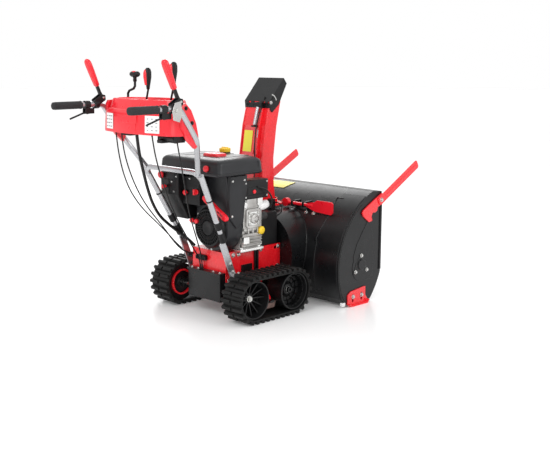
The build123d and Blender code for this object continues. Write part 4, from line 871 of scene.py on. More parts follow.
def chute():
    node_copy("chute", "red_paint", "chute", 1.6)
    edges = bmesh.new()
    for x in (CHUTE_X - CHUTE_HALF - 2, CHUTE_X + CHUTE_HALF - 5):
        heights = (500, 600, 700, 780, 856, 916, 965)
        line = [chute_rear(z, 3) for z in heights]
        add_plate(edges, line + [chute_rear(z, -4) for z in reversed(heights)], x, x + 7)
    for x in (CHUTE_X + 26, CHUTE_X + 48):
        line = [chute_rear(z, 18) for z in (720, 780, 856, 900, 940)]
        add_plate(edges, line + [chute_rear(z, 1) for z in (940, 900, 856, 780, 720)], x, x + 3)
    piece("chute_folds", edges, "red_paint", "chute", edge=1.5)
    label = bmesh.new()
    add_prism(label, [at(CHUTE_X - 62, *chute_rear(z, 0.4)) for z in (728, 832)]
              + [at(CHUTE_X - 4, *chute_rear(z, 0.4)) for z in (832, 728)], (0, 0.8, 0))
    piece("chute_label", label, "label", "chute")
    hardware = bmesh.new()
    add_bar(hardware, at(CHUTE_X + 22, *chute_rear(862, 22)), at(CHUTE_X + 22, *chute_rear(948, 22)), 9, 24)
    add_bar(hardware, at(CHUTE_X + 42, *chute_rear(800, 12)), at(CHUTE_X + 42, *chute_rear(838, 12)), 4.5, 16)
    piece("deflector_spring_tube", hardware, "tube", "chute", edge=1)
    cable = [(CHUTE_X + 40, 372, 1000), (CHUTE_X + 44, 388, 966), (CHUTE_X + 43, 412, 920),
             (CHUTE_X + 42, 432, 860),
             (CHUTE_X + 42, 442, 800), (CHUTE_X + 44, 446, 740), (CHUTE_X + 46, 447, 680),
             (CHUTE_X + 42, 444, 620),
             (CHUTE_X + 30, 438, 560)]
    smooth_curve("deflector_cable", cable, 3, "cable", "chute")
    bracket = bmesh.new()
    add_box(bracket, CHUTE_X - 4, CHUTE_X + 46, *sorted((chute_rear(955, 2)[0], chute_rear(955, 26)[0])),
            950, 972)
    add_box(bracket, CHUTE_X + 6, CHUTE_X + 38, *sorted((chute_rear(855, 2)[0], chute_rear(855, 30)[0])),
            852, 860)
    piece("deflector_cable_bracket", bracket, "black_paint", "chute", edge=2)
    hinge = bmesh.new()
    back, z = chute_rear(958, 4)
    add_box(hinge, CHUTE_X - CHUTE_HALF - 6, CHUTE_X + CHUTE_HALF + 6, back - 1, back + 3, 944, 974)
    for x in (-70, -24, 34, 68):
        add_bolt(hinge, at(CHUTE_X + x, back + 3, 958), (0, -1, 0), 4, 3)
    piece("chute_hinge_strip", hinge, "black_paint", "chute", edge=0.8)


def deflector():
    hinge_back, hinge_z = CHUTE_BACK + CHUTE_REAR[-1][0] + 8, CHUTE_REAR[-1][1] - 6
    hood = node_copy("deflector", "bucket", "deflector", 1.5)
    # The cheeks are drawn in towards the leaning back of the hood.
    lean = Vector((0, math.sin(math.radians(42)), math.cos(math.radians(42))))
    forward = Vector((0, math.cos(math.radians(42)), -math.sin(math.radians(42))))
    hinge = at(0, hinge_back, hinge_z)
    for vert in hood.data.vertices:
        offset = vert.co - hinge
        ahead = offset.dot(forward)
        if ahead > 0.012 and abs(offset.dot(lean)) < 0.5:
            vert.co -= forward * (ahead - 0.012) * 0.42
    shape = bmesh.new()
    outside = CHUTE_X + CHUTE_HALF + 6
    plate = (arc((hinge_back - 10, hinge_z - 8), 22, -60, 90, 6)
             + [(hinge_back - 26, hinge_z + 44), (hinge_back - 42, hinge_z + 28),
                (hinge_back - 34, hinge_z - 26)])
    add_plate(shape, plate, outside - 0.5, outside + 3)
    piece("deflector_cheek", shape, "black_plastic", "deflector", edge=1.2)
    slot = bmesh.new()
    curve = arc((hinge_back, hinge_z), 42, 100, 165, 8) + arc((hinge_back, hinge_z), 36, 165, 100, 8)
    add_plate(slot, curve, outside + 2.6, outside + 3.6)
    add_bolt(slot, at(outside + 3, hinge_back, hinge_z), (1, 0, 0), 6, 4)
    piece("deflector_slot_trim", slot, "zinc", "deflector", edge=0.3)


def build_chute():
    chute()
    deflector()


# ---- engine --------------------------------------------------------------------------------------
CRANK_X = 45
CRANK_Z = 416
ENGINE_REAR = 728
FAN_REAR = 812
FAN_RADIUS = 114
RECOIL_REAR = 840
RECOIL_RADIUS = 94
TANK = (-210, 200, 625, 910, 667, 746)
CAP = (-14, 670)


def tank_ring(z, inset, radius):
    left, right, front, rear = TANK[:4]
    outline = round_box((left + inset, front + inset), (right - inset, rear - inset), radius)
    return [at(x, back, z) for x, back in outline]


def fuel_tank():
    right, front, rear, low, top = TANK[1:]
    levels = [(low, 8, 18), (low + 3, 3, 20), (low + 8, 0.5, 22), (low + 12, 0, 22), (low + 16, 1.5, 22),
              (low + 50, 4, 24), (low + 58, 5, 25), (low + 64, 8, 27), (low + 70, 14, 30), (top - 5, 23, 32),
              (top - 2, 34, 34), (top, 52, 36)]
    shape = bmesh.new()
    add_loft(shape, [tank_ring(z, inset, radius) for z, inset, radius in levels])
    piece("engine_top_cover", shape, "cover", "root", ("fuel_tank",), angle=50)
    trim = bmesh.new()
    ridge = [tank_ring(low + 12.5, -0.8, 23), tank_ring(low + 14.5, -0.8, 23)]
    add_loft(trim, [tank_ring(low + 10, 2, 22)] + ridge + [tank_ring(low + 17, 3, 22)], False, False)
    for x in (-120, -20, 80):
        add_box(trim, x, x + 60, front + 40, rear - 60, top - 2, top + 1.2)
    piece("top_cover_ridges", trim, "cover", "root", edge=0.8)
    seam = bmesh.new()
    add_box(seam, right - 8, right - 2.2, front + 34, front + 36, low + 4, top - 22)
    piece("top_cover_seam", seam, "black_paint", "root")
    badge = bmesh.new()
    low_corner, high_corner = (8, 764), (106, 836)
    rings = []
    for z, inset in ((top - 2, 0), (top + 9, 0), (top + 13, 3), (top + 15, 9), (top + 16, 20)):
        outline = round_box((low_corner[0] + inset, low_corner[1] + inset),
                            (high_corner[0] - inset, high_corner[1] - inset), 16)
        rings.append([at(x, back, z) for x, back in outline])
    add_loft(badge, rings)
    add_turned(badge, [(0, 0), (0, 13), (6, 15), (12, 14), (15, 10), (16, 0)], "y", at(121, rear - 4, 702),
               28)
    piece("top_cover_badge", badge, "red_plastic", "root", angle=45)
    neck = bmesh.new()
    add_turned(neck, [(-3, 26), (2, 26), (4, 24), (4, 17), (-6, 17)], "z", at(CAP[0], CAP[1], top), 32)
    piece("filler_neck", neck, "black_plastic", "root", angle=45)


def fuel_cap():
    top = TANK[5] + 4.3
    shape = bmesh.new()
    add_turned(shape, [(0, 15), (0, 23), (2, 25), (17, 24.5), (20, 22), (21, 18), (19.5, 17), (19.5, 0)], "z",
               at(CAP[0], CAP[1], top), 36)
    for number in range(18):
        rib = add_box(shape, -1.6, 1.6, 22.5, 26.4, 2, 17)
        centre = Matrix.Translation(at(CAP[0], CAP[1], top)) @ Matrix.Rotation(math.radians(20 * number), 4,
                                                                               "Z")
        bmesh.ops.transform(shape, matrix=centre @ Matrix.Translation(-at(0, 0, 0)), verts=rib)
    add_box(shape, CAP[0] - 18, CAP[0] + 18, CAP[1] - 4, CAP[1] + 4, top + 18, top + 24)
    piece("fuel_cap_knob", shape, "yellow", "fuel_cap", ("fuel_cap",), edge=0.8)


def engine_block():
    node_copy("engine_block", "aluminium", "root", 5, 3)
    side = bmesh.new()
    # Right side: crankcase cover with its flange, ribs and bosses.
    add_plate(side, round_box((604, 396), (716, 546), 20), 149, 158)
    add_plate(side, round_box((616, 410), (704, 500), 16), 157, 168)
    add_plate(side, round_box((600, 322), (722, 384), 10), 149, 160)
    for z in (336, 350, 364):
        add_box(side, 150, 172, 606, 716, z, z + 5)
    for back in (626, 656, 686):
        add_box(side, 150, 166, back, back + 6, 384, 412)
    add_box(side, 120, 168, 640, 700, 508, 548)
    add_turned(side, [(0, 24), (12, 24), (16, 21), (18, 12), (24, 10), (25, 0)], "x", at(166, 660, 455), 32)
    add_turned(side, [(0, 17), (14, 17), (17, 14)], "x", at(150, 608, 393), 28)
    for back, z in ((612, 540), (708, 540), (612, 404), (708, 404), (608, 330), (714, 330), (608, 376),
                    (714, 376)):
        add_turned(side, [(0, 8), (10, 8), (11, 6), (11, 0)], "x", at(151, back, z), 16)
    piece("engine_side_castings", side, "aluminium", "root", edge=2.2, segments=3)
    flange = bmesh.new()
    add_box(flange, -80, 160, 584, 734, 300, 314)
    for x in (-60, 140):
        for back in (604, 714):
            add_turned(flange, [(0, 14), (8, 14), (9, 12)], "z", at(x, back, 313), 20)
    piece("engine_base_flange", flange, "machined", "root", edge=3)
    shiny = bmesh.new()
    add_plate(shiny, round_box((628, 424), (692, 486), 12), 168, 170.5)
    add_plate(shiny, round_box((600, 512), (632, 552), 6), 150, 168)
    add_plate(shiny, round_box((690, 340), (726, 372), 6), 158, 172)
    add_turned(shiny, [(0, 15), (14, 15), (16, 13), (16, 0)], "x", at(150, 706, 520), 28)
    piece("engine_machined_faces", shiny, "machined", "root", edge=1)
    screws = bmesh.new()
    for back, z in ((612, 540), (708, 540), (612, 404), (708, 404), (608, 330), (714, 330), (634, 430),
                    (686, 430),
                    (634, 480), (686, 480)):
        deep = 170 if 430 <= z <= 480 else 161
        add_bolt(screws, at(deep, back, z), (1, 0, 0), 5, 4)
    piece("engine_screws", screws, "zinc", "root", edge=0.4)


def cylinder_head():
    """Cooling fins, valve cover and spark plug on the left side."""
    shape = bmesh.new()
    for number in range(9):
        x = -186 + 12 * number
        add_box(shape, x, x + 4, 600, 722, 388, 530)
    piece("cylinder_fins", shape, "aluminium", "root", edge=1.2)
    cover = bmesh.new()
    add_loft(cover, [[at(x, back, z) for back, z in round_box((612 + inset, 402 + inset),
                                                              (710 - inset, 518 - inset), 16)]
                     for x, inset in ((-204, 0), (-216, 2), (-222, 8), (-224, 18))])
    piece("valve_cover", cover, "black_paint", "root", edge=0)
    plug = bmesh.new()
    add_turned(plug, [(0, 8), (18, 8), (20, 11), (44, 10), (50, 7), (52, 0)], "x", at(-268, 640, 460), 20)
    piece("spark_plug_boot", plug, "cable", "root")


def add_screw(shape, centre, direction, size=5):
    """Pan head with a recess, standing at a place."""
    turn = Vector(direction).to_track_quat("Z", "Y").to_matrix().to_4x4()
    base = Matrix.Translation(centre) @ turn
    bmesh.ops.create_cone(shape, cap_ends=True, segments=18, radius1=size * MM, radius2=size * 0.8 * MM,
                          depth=2.4 * MM, matrix=base @ Matrix.Translation((0, 0, 1.2 * MM)))


def cowl():
    shape = bmesh.new()
    # Flared blower housing: a drum whose top runs up to the cover, and a big flat right side.
    def ring(back, grow):
        right = arc((CRANK_X, CRANK_Z), FAN_RADIUS + grow, -180, 0, 22)
        top = [(158 + grow, 520), (156 + grow, 600), (150 + grow, 640), (142, 660), (100, 664), (-30, 664),
               (-58 - grow, 656), (-64 - grow, 620), (-66 - grow, 520)]
        return [at(x, back, z) for x, z in right + top]
    levels = [(ENGINE_REAR - 6, 0), (ENGINE_REAR, 2), (ENGINE_REAR + 30, 2), (FAN_REAR - 16, 0),
              (FAN_REAR - 6, -4),
              (FAN_REAR - 1, -10), (FAN_REAR, -18)]
    add_loft(shape, [ring(back, grow) for back, grow in levels])
    piece("blower_housing", shape, "cover", "root", ("fan_housing",), angle=50)
    side = bmesh.new()
    add_loft(side, [[at(x, back, z) for back, z in
                     [(700 + i, 660), (806 - i, 660), (812 - i, 560), (812 - i, 470 + i), (770, 420 + i),
                      (728, 440 + i), (716 + i, 520), (700 + i, 600)]]
                    for x, i in ((150, 0), (164, 0), (169, 3), (171, 9))])
    piece("blower_side_panel", side, "cover", "root", edge=3, segments=3, angle=25)
    screws = bmesh.new()
    for back, z in ((722, 640), (796, 640), (800, 480)):
        add_screw(screws, at(171, back, z), (1, 0, 0), 6)
    for angle in (30, 150, 210, 330, 270):
        x = CRANK_X + 104 * math.cos(math.radians(angle))
        z = CRANK_Z + 104 * math.sin(math.radians(angle))
        add_screw(screws, at(x, FAN_REAR - 1, z), (0, -1, 0), 6)
    piece("blower_screws", screws, "zinc", "root")


def recoil_cover():
    shape = bmesh.new()
    add_turned(shape, [(-2, RECOIL_RADIUS + 4), (3, RECOIL_RADIUS + 4), (6, RECOIL_RADIUS),
                       (20, RECOIL_RADIUS - 4),
                       (25, RECOIL_RADIUS - 8), (26, RECOIL_RADIUS - 14), (17, RECOIL_RADIUS - 17), (15, 40),
                       (22, 37), (27, 32), (28, 26), (26, 20), (25, 0)], "y",
               at(CRANK_X, FAN_REAR, CRANK_Z), 64)
    for number in range(36):
        rib = add_box(shape, -1.7, 1.7, 12, 25.5, 38, RECOIL_RADIUS - 12)
        place = (Matrix.Translation(at(CRANK_X, FAN_REAR, CRANK_Z))
                 @ Matrix.Rotation(math.radians(10 * number), 4, "Y") @ Matrix.Translation(-at(0, 0, 0)))
        bmesh.ops.transform(shape, matrix=place, verts=rib)
    for radius in (52, 66):
        add_turned(shape, [(14, radius - 1.5), (24.5, radius - 1.5), (24.5, radius + 1.5),
                           (14, radius + 1.5)], "y",
                   at(CRANK_X, FAN_REAR, CRANK_Z), 48)
    piece("starter_cover_ribs", shape, "black_plastic", "root", ("recoil_cover",), edge=0.6,
          angle=35)
    knobs = bmesh.new()
    for x in (-53, -21):
        add_turned(knobs, [(0, 9), (4, 11), (12, 10), (14, 6), (14, 0)], "y", at(x, RECOIL_REAR, 440), 20)
        add_box(knobs, x - 12, x + 12, RECOIL_REAR + 4, RECOIL_REAR + 12, 436, 444)
    piece("wing_knobs", knobs, "red_plastic", "root", edge=1)
    bridge = bmesh.new()
    add_box(bridge, -70, -4, FAN_REAR, RECOIL_REAR, 428, 452)
    piece("wing_knob_base", bridge, "black_plastic", "root", edge=3)


def recoil_handle():
    back = 854
    start, end = at(44, back, 561), at(192, back, 476)
    run = (end - start).normalized()
    across = Vector((run.z, 0, -run.x))
    shape = bmesh.new()
    outline = []
    half = (end - start).length / 2
    middle = (start + end) / 2
    for along, width in ((-1.06, 4), (-1.0, 12), (-0.8, 15), (-0.3, 13), (0.3, 13), (0.8, 15), (1.0, 12),
                         (1.06, 4)):
        outline.append((along * half, width * MM))
    upper = [middle + run * a + across * w for a, w in outline]
    lower = [middle + run * a - across * w * 0.85 for a, w in reversed(outline)]
    points = upper + lower
    add_prism(shape, [p + Vector((0, 9 * MM, 0)) for p in points], (0, 18, 0))
    add_bar(shape, at(118, back, 518), at(98, back, 484), 11, 20, 8)
    add_bar(shape, at(98, RECOIL_REAR + 0.5, 484), at(98, back, 484), 6, 16)
    piece("recoil_grip", shape, "red_plastic", "recoil_handle", ("recoil_handle",), edge=3,
          segments=3, angle=30)
    slots = bmesh.new()
    for along in (-0.62, -0.38, 0.38, 0.62):
        spot = middle + run * half * along
        place = Matrix.Translation(spot + Vector((0, -9.2 * MM, 0)))
        turn = Matrix.Rotation(-math.atan2(run.z, run.x), 4, "Y")
        bmesh.ops.create_cube(slots, size=1, matrix=place @ turn @ Matrix.Diagonal((16 * MM, 1.2 * MM,
                                                                                    5 * MM, 1)))
    piece("recoil_grip_slots", slots, "black_plastic", "recoil_handle")


def carburettor_box():
    outline_low = [(735, 664), (900, 664), (900, 560), (836, 440), (735, 440)]
    shape = bmesh.new()
    rings = []
    for x, inset in ((-216, 14), (-214, 5), (-208, 1), (-202, 0), (-96, 0), (-91, 1), (-88, 5)):
        centre = (818, 560)
        ring = []
        for back, z in outline_low:
            scale_b = 1 - inset / 90
            scale_z = 1 - inset / 110
            ring.append(at(x, centre[0] + (back - centre[0]) * scale_b,
                           centre[1] + (z - centre[1]) * scale_z))
        rings.append(ring)
    add_loft(shape, rings)
    add_box(shape, -90, 26, 813, 868, 520, 650)
    piece("carburettor_cover", shape, "black_plastic", "root", ("control_box",), edge=6,
          segments=3, angle=25)
    trim = bmesh.new()
    add_prism(trim, [at(x, 900.6, z) for x, z in round_box((-186, 562), (-150, 630), 6)], (0, 1.6, 0))
    add_prism(trim, [at(x, 900.6, z) for x, z in round_box((-206, 634), (-108, 658), 6)], (0, 1.2, 0))
    add_prism(trim, [at(x, 868.6, z) for x, z in round_box((-14, 560), (32, 606), 10)], (0, 1.5, 0))
    piece("control_frames", trim, "black_paint", "root", edge=0.5)
    screws = bmesh.new()
    for x, z in ((-204, 575), (-118, 575), (-98, 646), (-130, 620)):
        add_screw(screws, at(x, 900, z), (0, -1, 0), 5)
    add_screw(screws, at(-40, 868, 640), (0, -1, 0), 5)
    piece("control_screws", screws, "zinc", "root")


def engine_controls():
    choke = bmesh.new()
    add_turned(choke, [(-22, 0), (-22, 5), (5, 5), (6, 12), (8, 16), (14, 17), (18, 15), (20, 9),
                       (20.5, 0)], "y",
               at(-196, 900, 648), 32)
    piece("choke_knob_round", choke, "red_plastic", "choke_knob", ("choke_knob",), angle=50)
    primer = bmesh.new()
    add_turned(primer, [(-14, 0), (-14, 7.9), (7, 7.9), (7, 13), (9, 13), (13, 11.5), (16, 7.5), (17, 0)],
               "y",
               at(-64, 868, 574), 32)
    piece("primer_dome", primer, "red_plastic", "primer_bulb", ("primer_bulb",), angle=60)
    key = bmesh.new()
    add_turned(key, [(-18, 0), (-18, 5.9), (0.6, 5.9), (0.6, 12), (4, 13), (6, 12), (7, 8), (7, 0)], "y",
               at(9, 868, 583), 32)
    add_box(key, 4, 14, 874, 890, 570, 596)
    piece("key_head", key, "red_plastic", "ignition_key", ("ignition_key",), edge=2, angle=35)


def starter_motor():
    shape = bmesh.new()
    add_box(shape, 100, 170, 565, 724, 562, 634)
    add_box(shape, 130, 170, 565, 724, 545, 566)
    add_box(shape, 96, 150, 700, 730, 580, 660)
    piece("starter_box_body", shape, "black_plastic", "root", ("starter_box",), edge=5,
          segments=3)
    trim = bmesh.new()
    add_plate(trim, round_box((640, 568), (700, 600), 6), 169, 171.5)
    piece("starter_button_frame", trim, "black_paint", "root", edge=0.5)
    screws = bmesh.new()
    for back, z in ((576, 622), (713, 622), (713, 557), (576, 557)):
        add_screw(screws, at(170, back, z), (1, 0, 0), 5)
    piece("starter_screws", screws, "zinc", "root")
    can = bmesh.new()
    add_turned(can, [(-44, 0), (-44, 19), (-40, 23), (18, 23), (21, 21), (24, 15), (24, 0)], "y",
               at(146, 596, 506), 36)
    piece("starter_motor_can", can, "white", "root", angle=40)
    ends = bmesh.new()
    add_turned(ends, [(0, 0), (0, 24.5), (10, 24.5), (12, 20), (12, 0)], "y", at(146, 616, 506), 36)
    add_turned(ends, [(0, 0), (0, 14), (8, 14), (10, 10), (10, 0)], "y", at(146, 546, 506), 28)
    piece("starter_motor_ends", ends, "machined", "root", edge=0.8)
    exhaust = bmesh.new()
    add_turned(exhaust, [(0, 0), (0, 19), (3, 21), (42, 21), (45, 18), (45, 14), (30, 13), (30, 0)], "y",
               at(128, 545, 448), 36)
    bmesh.ops.rotate(exhaust, cent=at(128, 570, 448), matrix=Matrix.Rotation(0.25, 3, "X"),
                     verts=exhaust.verts[:])
    piece("breather_pipe", exhaust, "iron", "root", angle=40)


def oil_cap():
    shape = bmesh.new()
    add_turned(shape, [(-50, 0), (-50, 3.9), (0.5, 3.9), (0.5, 15), (9, 15), (10, 18), (21, 18), (24, 16),
                       (26, 12),
                       (26, 0)], "x", at(150, 608, 393), 32)
    for number in range(10):
        rib = add_box(shape, 160, 172, -2, 2, 16, 19.4)
        place = (Matrix.Translation(at(0, 608, 393)) @ Matrix.Rotation(math.radians(36 * number), 4, "X")
                 @ Matrix.Translation(-at(0, 0, 0)))
        bmesh.ops.transform(shape, matrix=place, verts=rib)
    piece("dipstick_cap", shape, "yellow", "oil_cap", ("oil_cap",), edge=0.8)


def engine_pipes():
    smooth_curve("starter_lead", [(172, 640, 600), (186, 610, 596), (192, 570, 560), (186, 552, 520),
                                  (170, 556, 492),
                                  (158, 580, 486)], 4, "cable", "root")
    smooth_curve("fuel_hose", [(-40, 735, 470), (-50, 748, 500), (-52, 742, 540), (-40, 730, 590)], 4,
                 "cable", "root")
    strut = bmesh.new()
    add_box(strut, 116, 124, 592, 606, 176, 330)
    add_box(strut, 124, 132, 588, 596, 200, 400)
    piece("frame_strut", strut, "black_paint", "root", edge=1.5)


def build_engine():
    fuel_tank()
    fuel_cap()
    engine_block()
    cylinder_head()
    cowl()
    recoil_cover()
    recoil_handle()
    carburettor_box()
    engine_controls()
    starter_motor()
    oil_cap()
    engine_pipes()


# ---- frame ---------------------------------------------------------------------------------------
def rear_cover():
    shape = bmesh.new()
    for x_low, x_high, b_low, b_high, z_low, z_high in ((-112, 112, 718, 822, 70, 203),):
        rings = [[at(x, back, z) for x, back in round_box((x_low + i, b_low + i), (x_high - i, b_high - i),
                                                          6)]
                 for z, i in ((z_low, 2), (z_low + 2, 0), (z_high - 2, 0), (z_high, 2))]
        add_loft(shape, rings)
    add_box(shape, -114, 114, 714, 826, 196, 206)
    piece("axle_cover", shape, "bucket", "root", ("rear_cover",), edge=1.8, segments=3)
    ledge = bmesh.new()
    for x in (-96, -52, 52, 96):
        add_bolt(ledge, at(x, 806, 206), (0, 0, 1), 6, 4)
    piece("axle_cover_bolts", ledge, "zinc", "root", edge=0.4)


def cable_clip():
    shape = bmesh.new()
    add_box(shape, -70, -14, 788, 800, 246, 272)
    add_box(shape, -76, -68, 788, 806, 250, 268)
    add_box(shape, -16, -8, 788, 806, 250, 268)
    piece("cable_holder", shape, "black_plastic", "root", edge=2)


def build_frame():
    rear_cover()
    cable_clip()


# ---- handles -------------------------------------------------------------------------------------
GRIP_X = 265
GRIP_Z = 984
GRIP_LENGTH = 147
HANDLE_FOOT = (148, 832, 362)
HANDLE_CORNER = (190, 1011, 698)


def leg(share):
    """Place on the line of the right leg, from its foot to its corner."""
    return at(*(low + share * (high - low) for low, high in zip(HANDLE_FOOT, HANDLE_CORNER)))


def tubes():
    node_copy("lower_handle", "tube", "root", 0, name="lower_handle_tube")
    node_copy("upper_handles", "tube", "root", 0, name="upper_handle_tubes")
    sleeves = bmesh.new()
    add_bar(sleeves, leg(0.96), leg(0.24), 13.6, 28)
    add_bar(sleeves, leg(0.24), leg(0.20), 13.6, 28, 9)
    mirror_all(sleeves)
    piece("handle_sleeves", sleeves, "tube", "root", edge=1)
    collars = bmesh.new()
    add_bar(collars, leg(0.30), leg(0.20), 16.5, 28)
    add_bar(collars, leg(0.62), leg(0.60), 15.2, 24)
    mirror_all(collars)
    piece("handle_collars", collars, "black_plastic", "root", edge=1.5)
    straps = bmesh.new()
    add_plate(straps, [(842, 366), (820, 366), (752, 196), (766, 184), (784, 190), (850, 350)], 137, 145)
    mirror_all(straps)
    piece("handle_straps", straps, "tube", "root", edge=2)


def grips():
    shape = bmesh.new()
    profile = [(0, 12.6), (0, 17), (2, 18), (5, 18), (7, 16.2)]
    along = 10
    while along < GRIP_LENGTH - 12:
        profile += [(along, 16.1), (along + 1.0, 17.1), (along + 3.6, 17.1), (along + 4.6, 16.1)]
        along += 6.4
    profile += [(GRIP_LENGTH - 6, 16.4), (GRIP_LENGTH - 3, 15.8), (GRIP_LENGTH, 12), (GRIP_LENGTH, 0)]
    add_turned(shape, profile, "y", at(GRIP_X, GRIP_REACH - GRIP_LENGTH, GRIP_Z), 36)
    mirror_all(shape)
    piece("hand_grips", shape, "grip", "root", ("grips",), angle=40)


LEVER_BACK = 1190
LEVER_Z = 1013
LEVER_ANGLE = 66


def clutch_levers():
    for side, word in ((1, "right"), (-1, "left")):
        body = f"clutch_lever_{word}"
        pivot = at(GRIP_X, LEVER_BACK, LEVER_Z)
        angle = math.radians(LEVER_ANGLE)
        run = Vector((0, -math.cos(angle), math.sin(angle)))
        place = Matrix.Translation(pivot) @ run.to_track_quat("Z", "X").to_matrix().to_4x4()
        coat = bmesh.new()
        rings = []
        for along, wide, thick in ((56, 10, 7), (60, 14, 10), (90, 15.5, 11), (130, 17, 12), (160, 17.5, 12),
                                   (174, 16, 11), (181, 12, 8), (185, 6, 4)):
            outline = round_box((-thick, -wide), (thick, wide), min(thick, wide) * 0.9)
            rings.append([place @ Vector((x * MM, y * MM, along * MM)) for x, y in outline])
        add_loft(coat, rings)
        black = bmesh.new()
        rings = []
        for along, wide, thick in ((-14, 6, 6.5), (-10, 10, 6.5), (8, 12, 6.5), (26, 9, 6), (62, 9, 6)):
            outline = round_box((-thick, -wide), (thick, wide), 4)
            rings.append([place @ Vector((x * MM, y * MM, along * MM)) for x, y in outline])
        add_loft(black, rings)
        add_rod(black, "x", pivot, 10, 20, 28)
        if side < 0:
            for shape in (coat, black):
                bmesh.ops.scale(shape, vec=(-1, 1, 1), verts=shape.verts[:])
        piece(body + "_coat", coat, "red_plastic", body, (body,), angle=50)
        piece(body + "_arm", black, "black_paint", body, edge=1.2)


def control_mounts():
    """Clamps on the handle tubes for the clutch levers and the steering triggers."""
    shape = bmesh.new()
    add_rod(shape, "y", at(GRIP_X, LEVER_BACK + 31, GRIP_Z), 19, 24, 32)
    for x in (GRIP_X - 15, GRIP_X + 10.5):
        add_plate(shape, [(LEVER_BACK - 12, 1024), (LEVER_BACK + 8, 1028), (LEVER_BACK + 44, 1006),
                          (LEVER_BACK + 44, 984), (LEVER_BACK + 16, 984), (LEVER_BACK - 14, 1002)], x,
                          x + 4.5)
    add_rod(shape, "y", at(GRIP_X, 1271, GRIP_Z), 18, 28, 32)
    for x in (GRIP_X - 12, GRIP_X + 7):
        add_plate(shape, [(1258, 984), (1284, 984), (1286, 950), (1278, 942), (1262, 944)], x, x + 5)
    add_box(shape, GRIP_X - 10, GRIP_X + 10, 1236, 1262, 944, 968)
    mirror_all(shape)
    piece("control_clamps", shape, "black_plastic", "root", ("control_brackets",), edge=2)
    plates = bmesh.new()
    add_plate(plates, [(1196, 1016), (1226, 1010), (1242, 975), (1236, 940), (1204, 930), (1188, 960)], 284,
              287)
    add_bolt(plates, at(287, 1220, 978), (1, 0, 0), 9, 6)
    add_rod(plates, "x", at(GRIP_X, LEVER_BACK, LEVER_Z), 5, 38, 20)
    piece("right_control_plate", plates, "zinc", "root", edge=1)
    nut = bmesh.new()
    add_rod(nut, "x", at(-GRIP_X, LEVER_BACK, LEVER_Z), 5, 38, 20)
    add_bolt(nut, at(-GRIP_X - 19, LEVER_BACK, LEVER_Z), (-1, 0, 0), 7, 5)
    piece("left_control_pin", nut, "zinc", "root", edge=0.6)


# ---- console -------------------------------------------------------------------------------------
CONSOLE_HALF = 246
CONSOLE_FRONT = 1010
CONSOLE_FRONT_CORNER = 1098
CONSOLE_CORNER = 1196
CONSOLE_REAR = 1232
CONSOLE_LOW = 868
TRAY_Z = 984


def console_ring(z, inset):
    """Outline of the console at a height: straight sides, rounded front corners and a bowed rear wall."""
    wide = CONSOLE_HALF - inset
    front = CONSOLE_FRONT + inset * 0.3
    sweep = CONSOLE_FRONT_CORNER - CONSOLE_FRONT
    front_radius = (wide ** 2 + sweep ** 2) / (2 * sweep)
    corner = CONSOLE_CORNER - inset * 0.5
    rear = CONSOLE_REAR - inset
    bow = rear - corner
    radius = (wide ** 2 + bow ** 2) / (2 * bow)
    spread = math.degrees(math.asin(wide / radius))
    wall = arc((0, rear - radius), radius, 90 - spread, 90 + spread, 24)
    soften = 26
    rear_wall = []
    for x, back in wall:
        reach = min(1.0, (wide - abs(x)) / soften)
        rear_wall.append((x, back - (1 - reach) ** 2 * soften))
    front_wall = []
    for number in range(17):
        x = wide * (number - 8) / 8
        reach = min(1.0, (wide - abs(x)) / soften)
        back = front + front_radius - math.sqrt(front_radius ** 2 - x ** 2)
        front_wall.append((x, back + (1 - reach) ** 2 * soften))
    return [at(x, back, z) for x, back in rear_wall + front_wall]


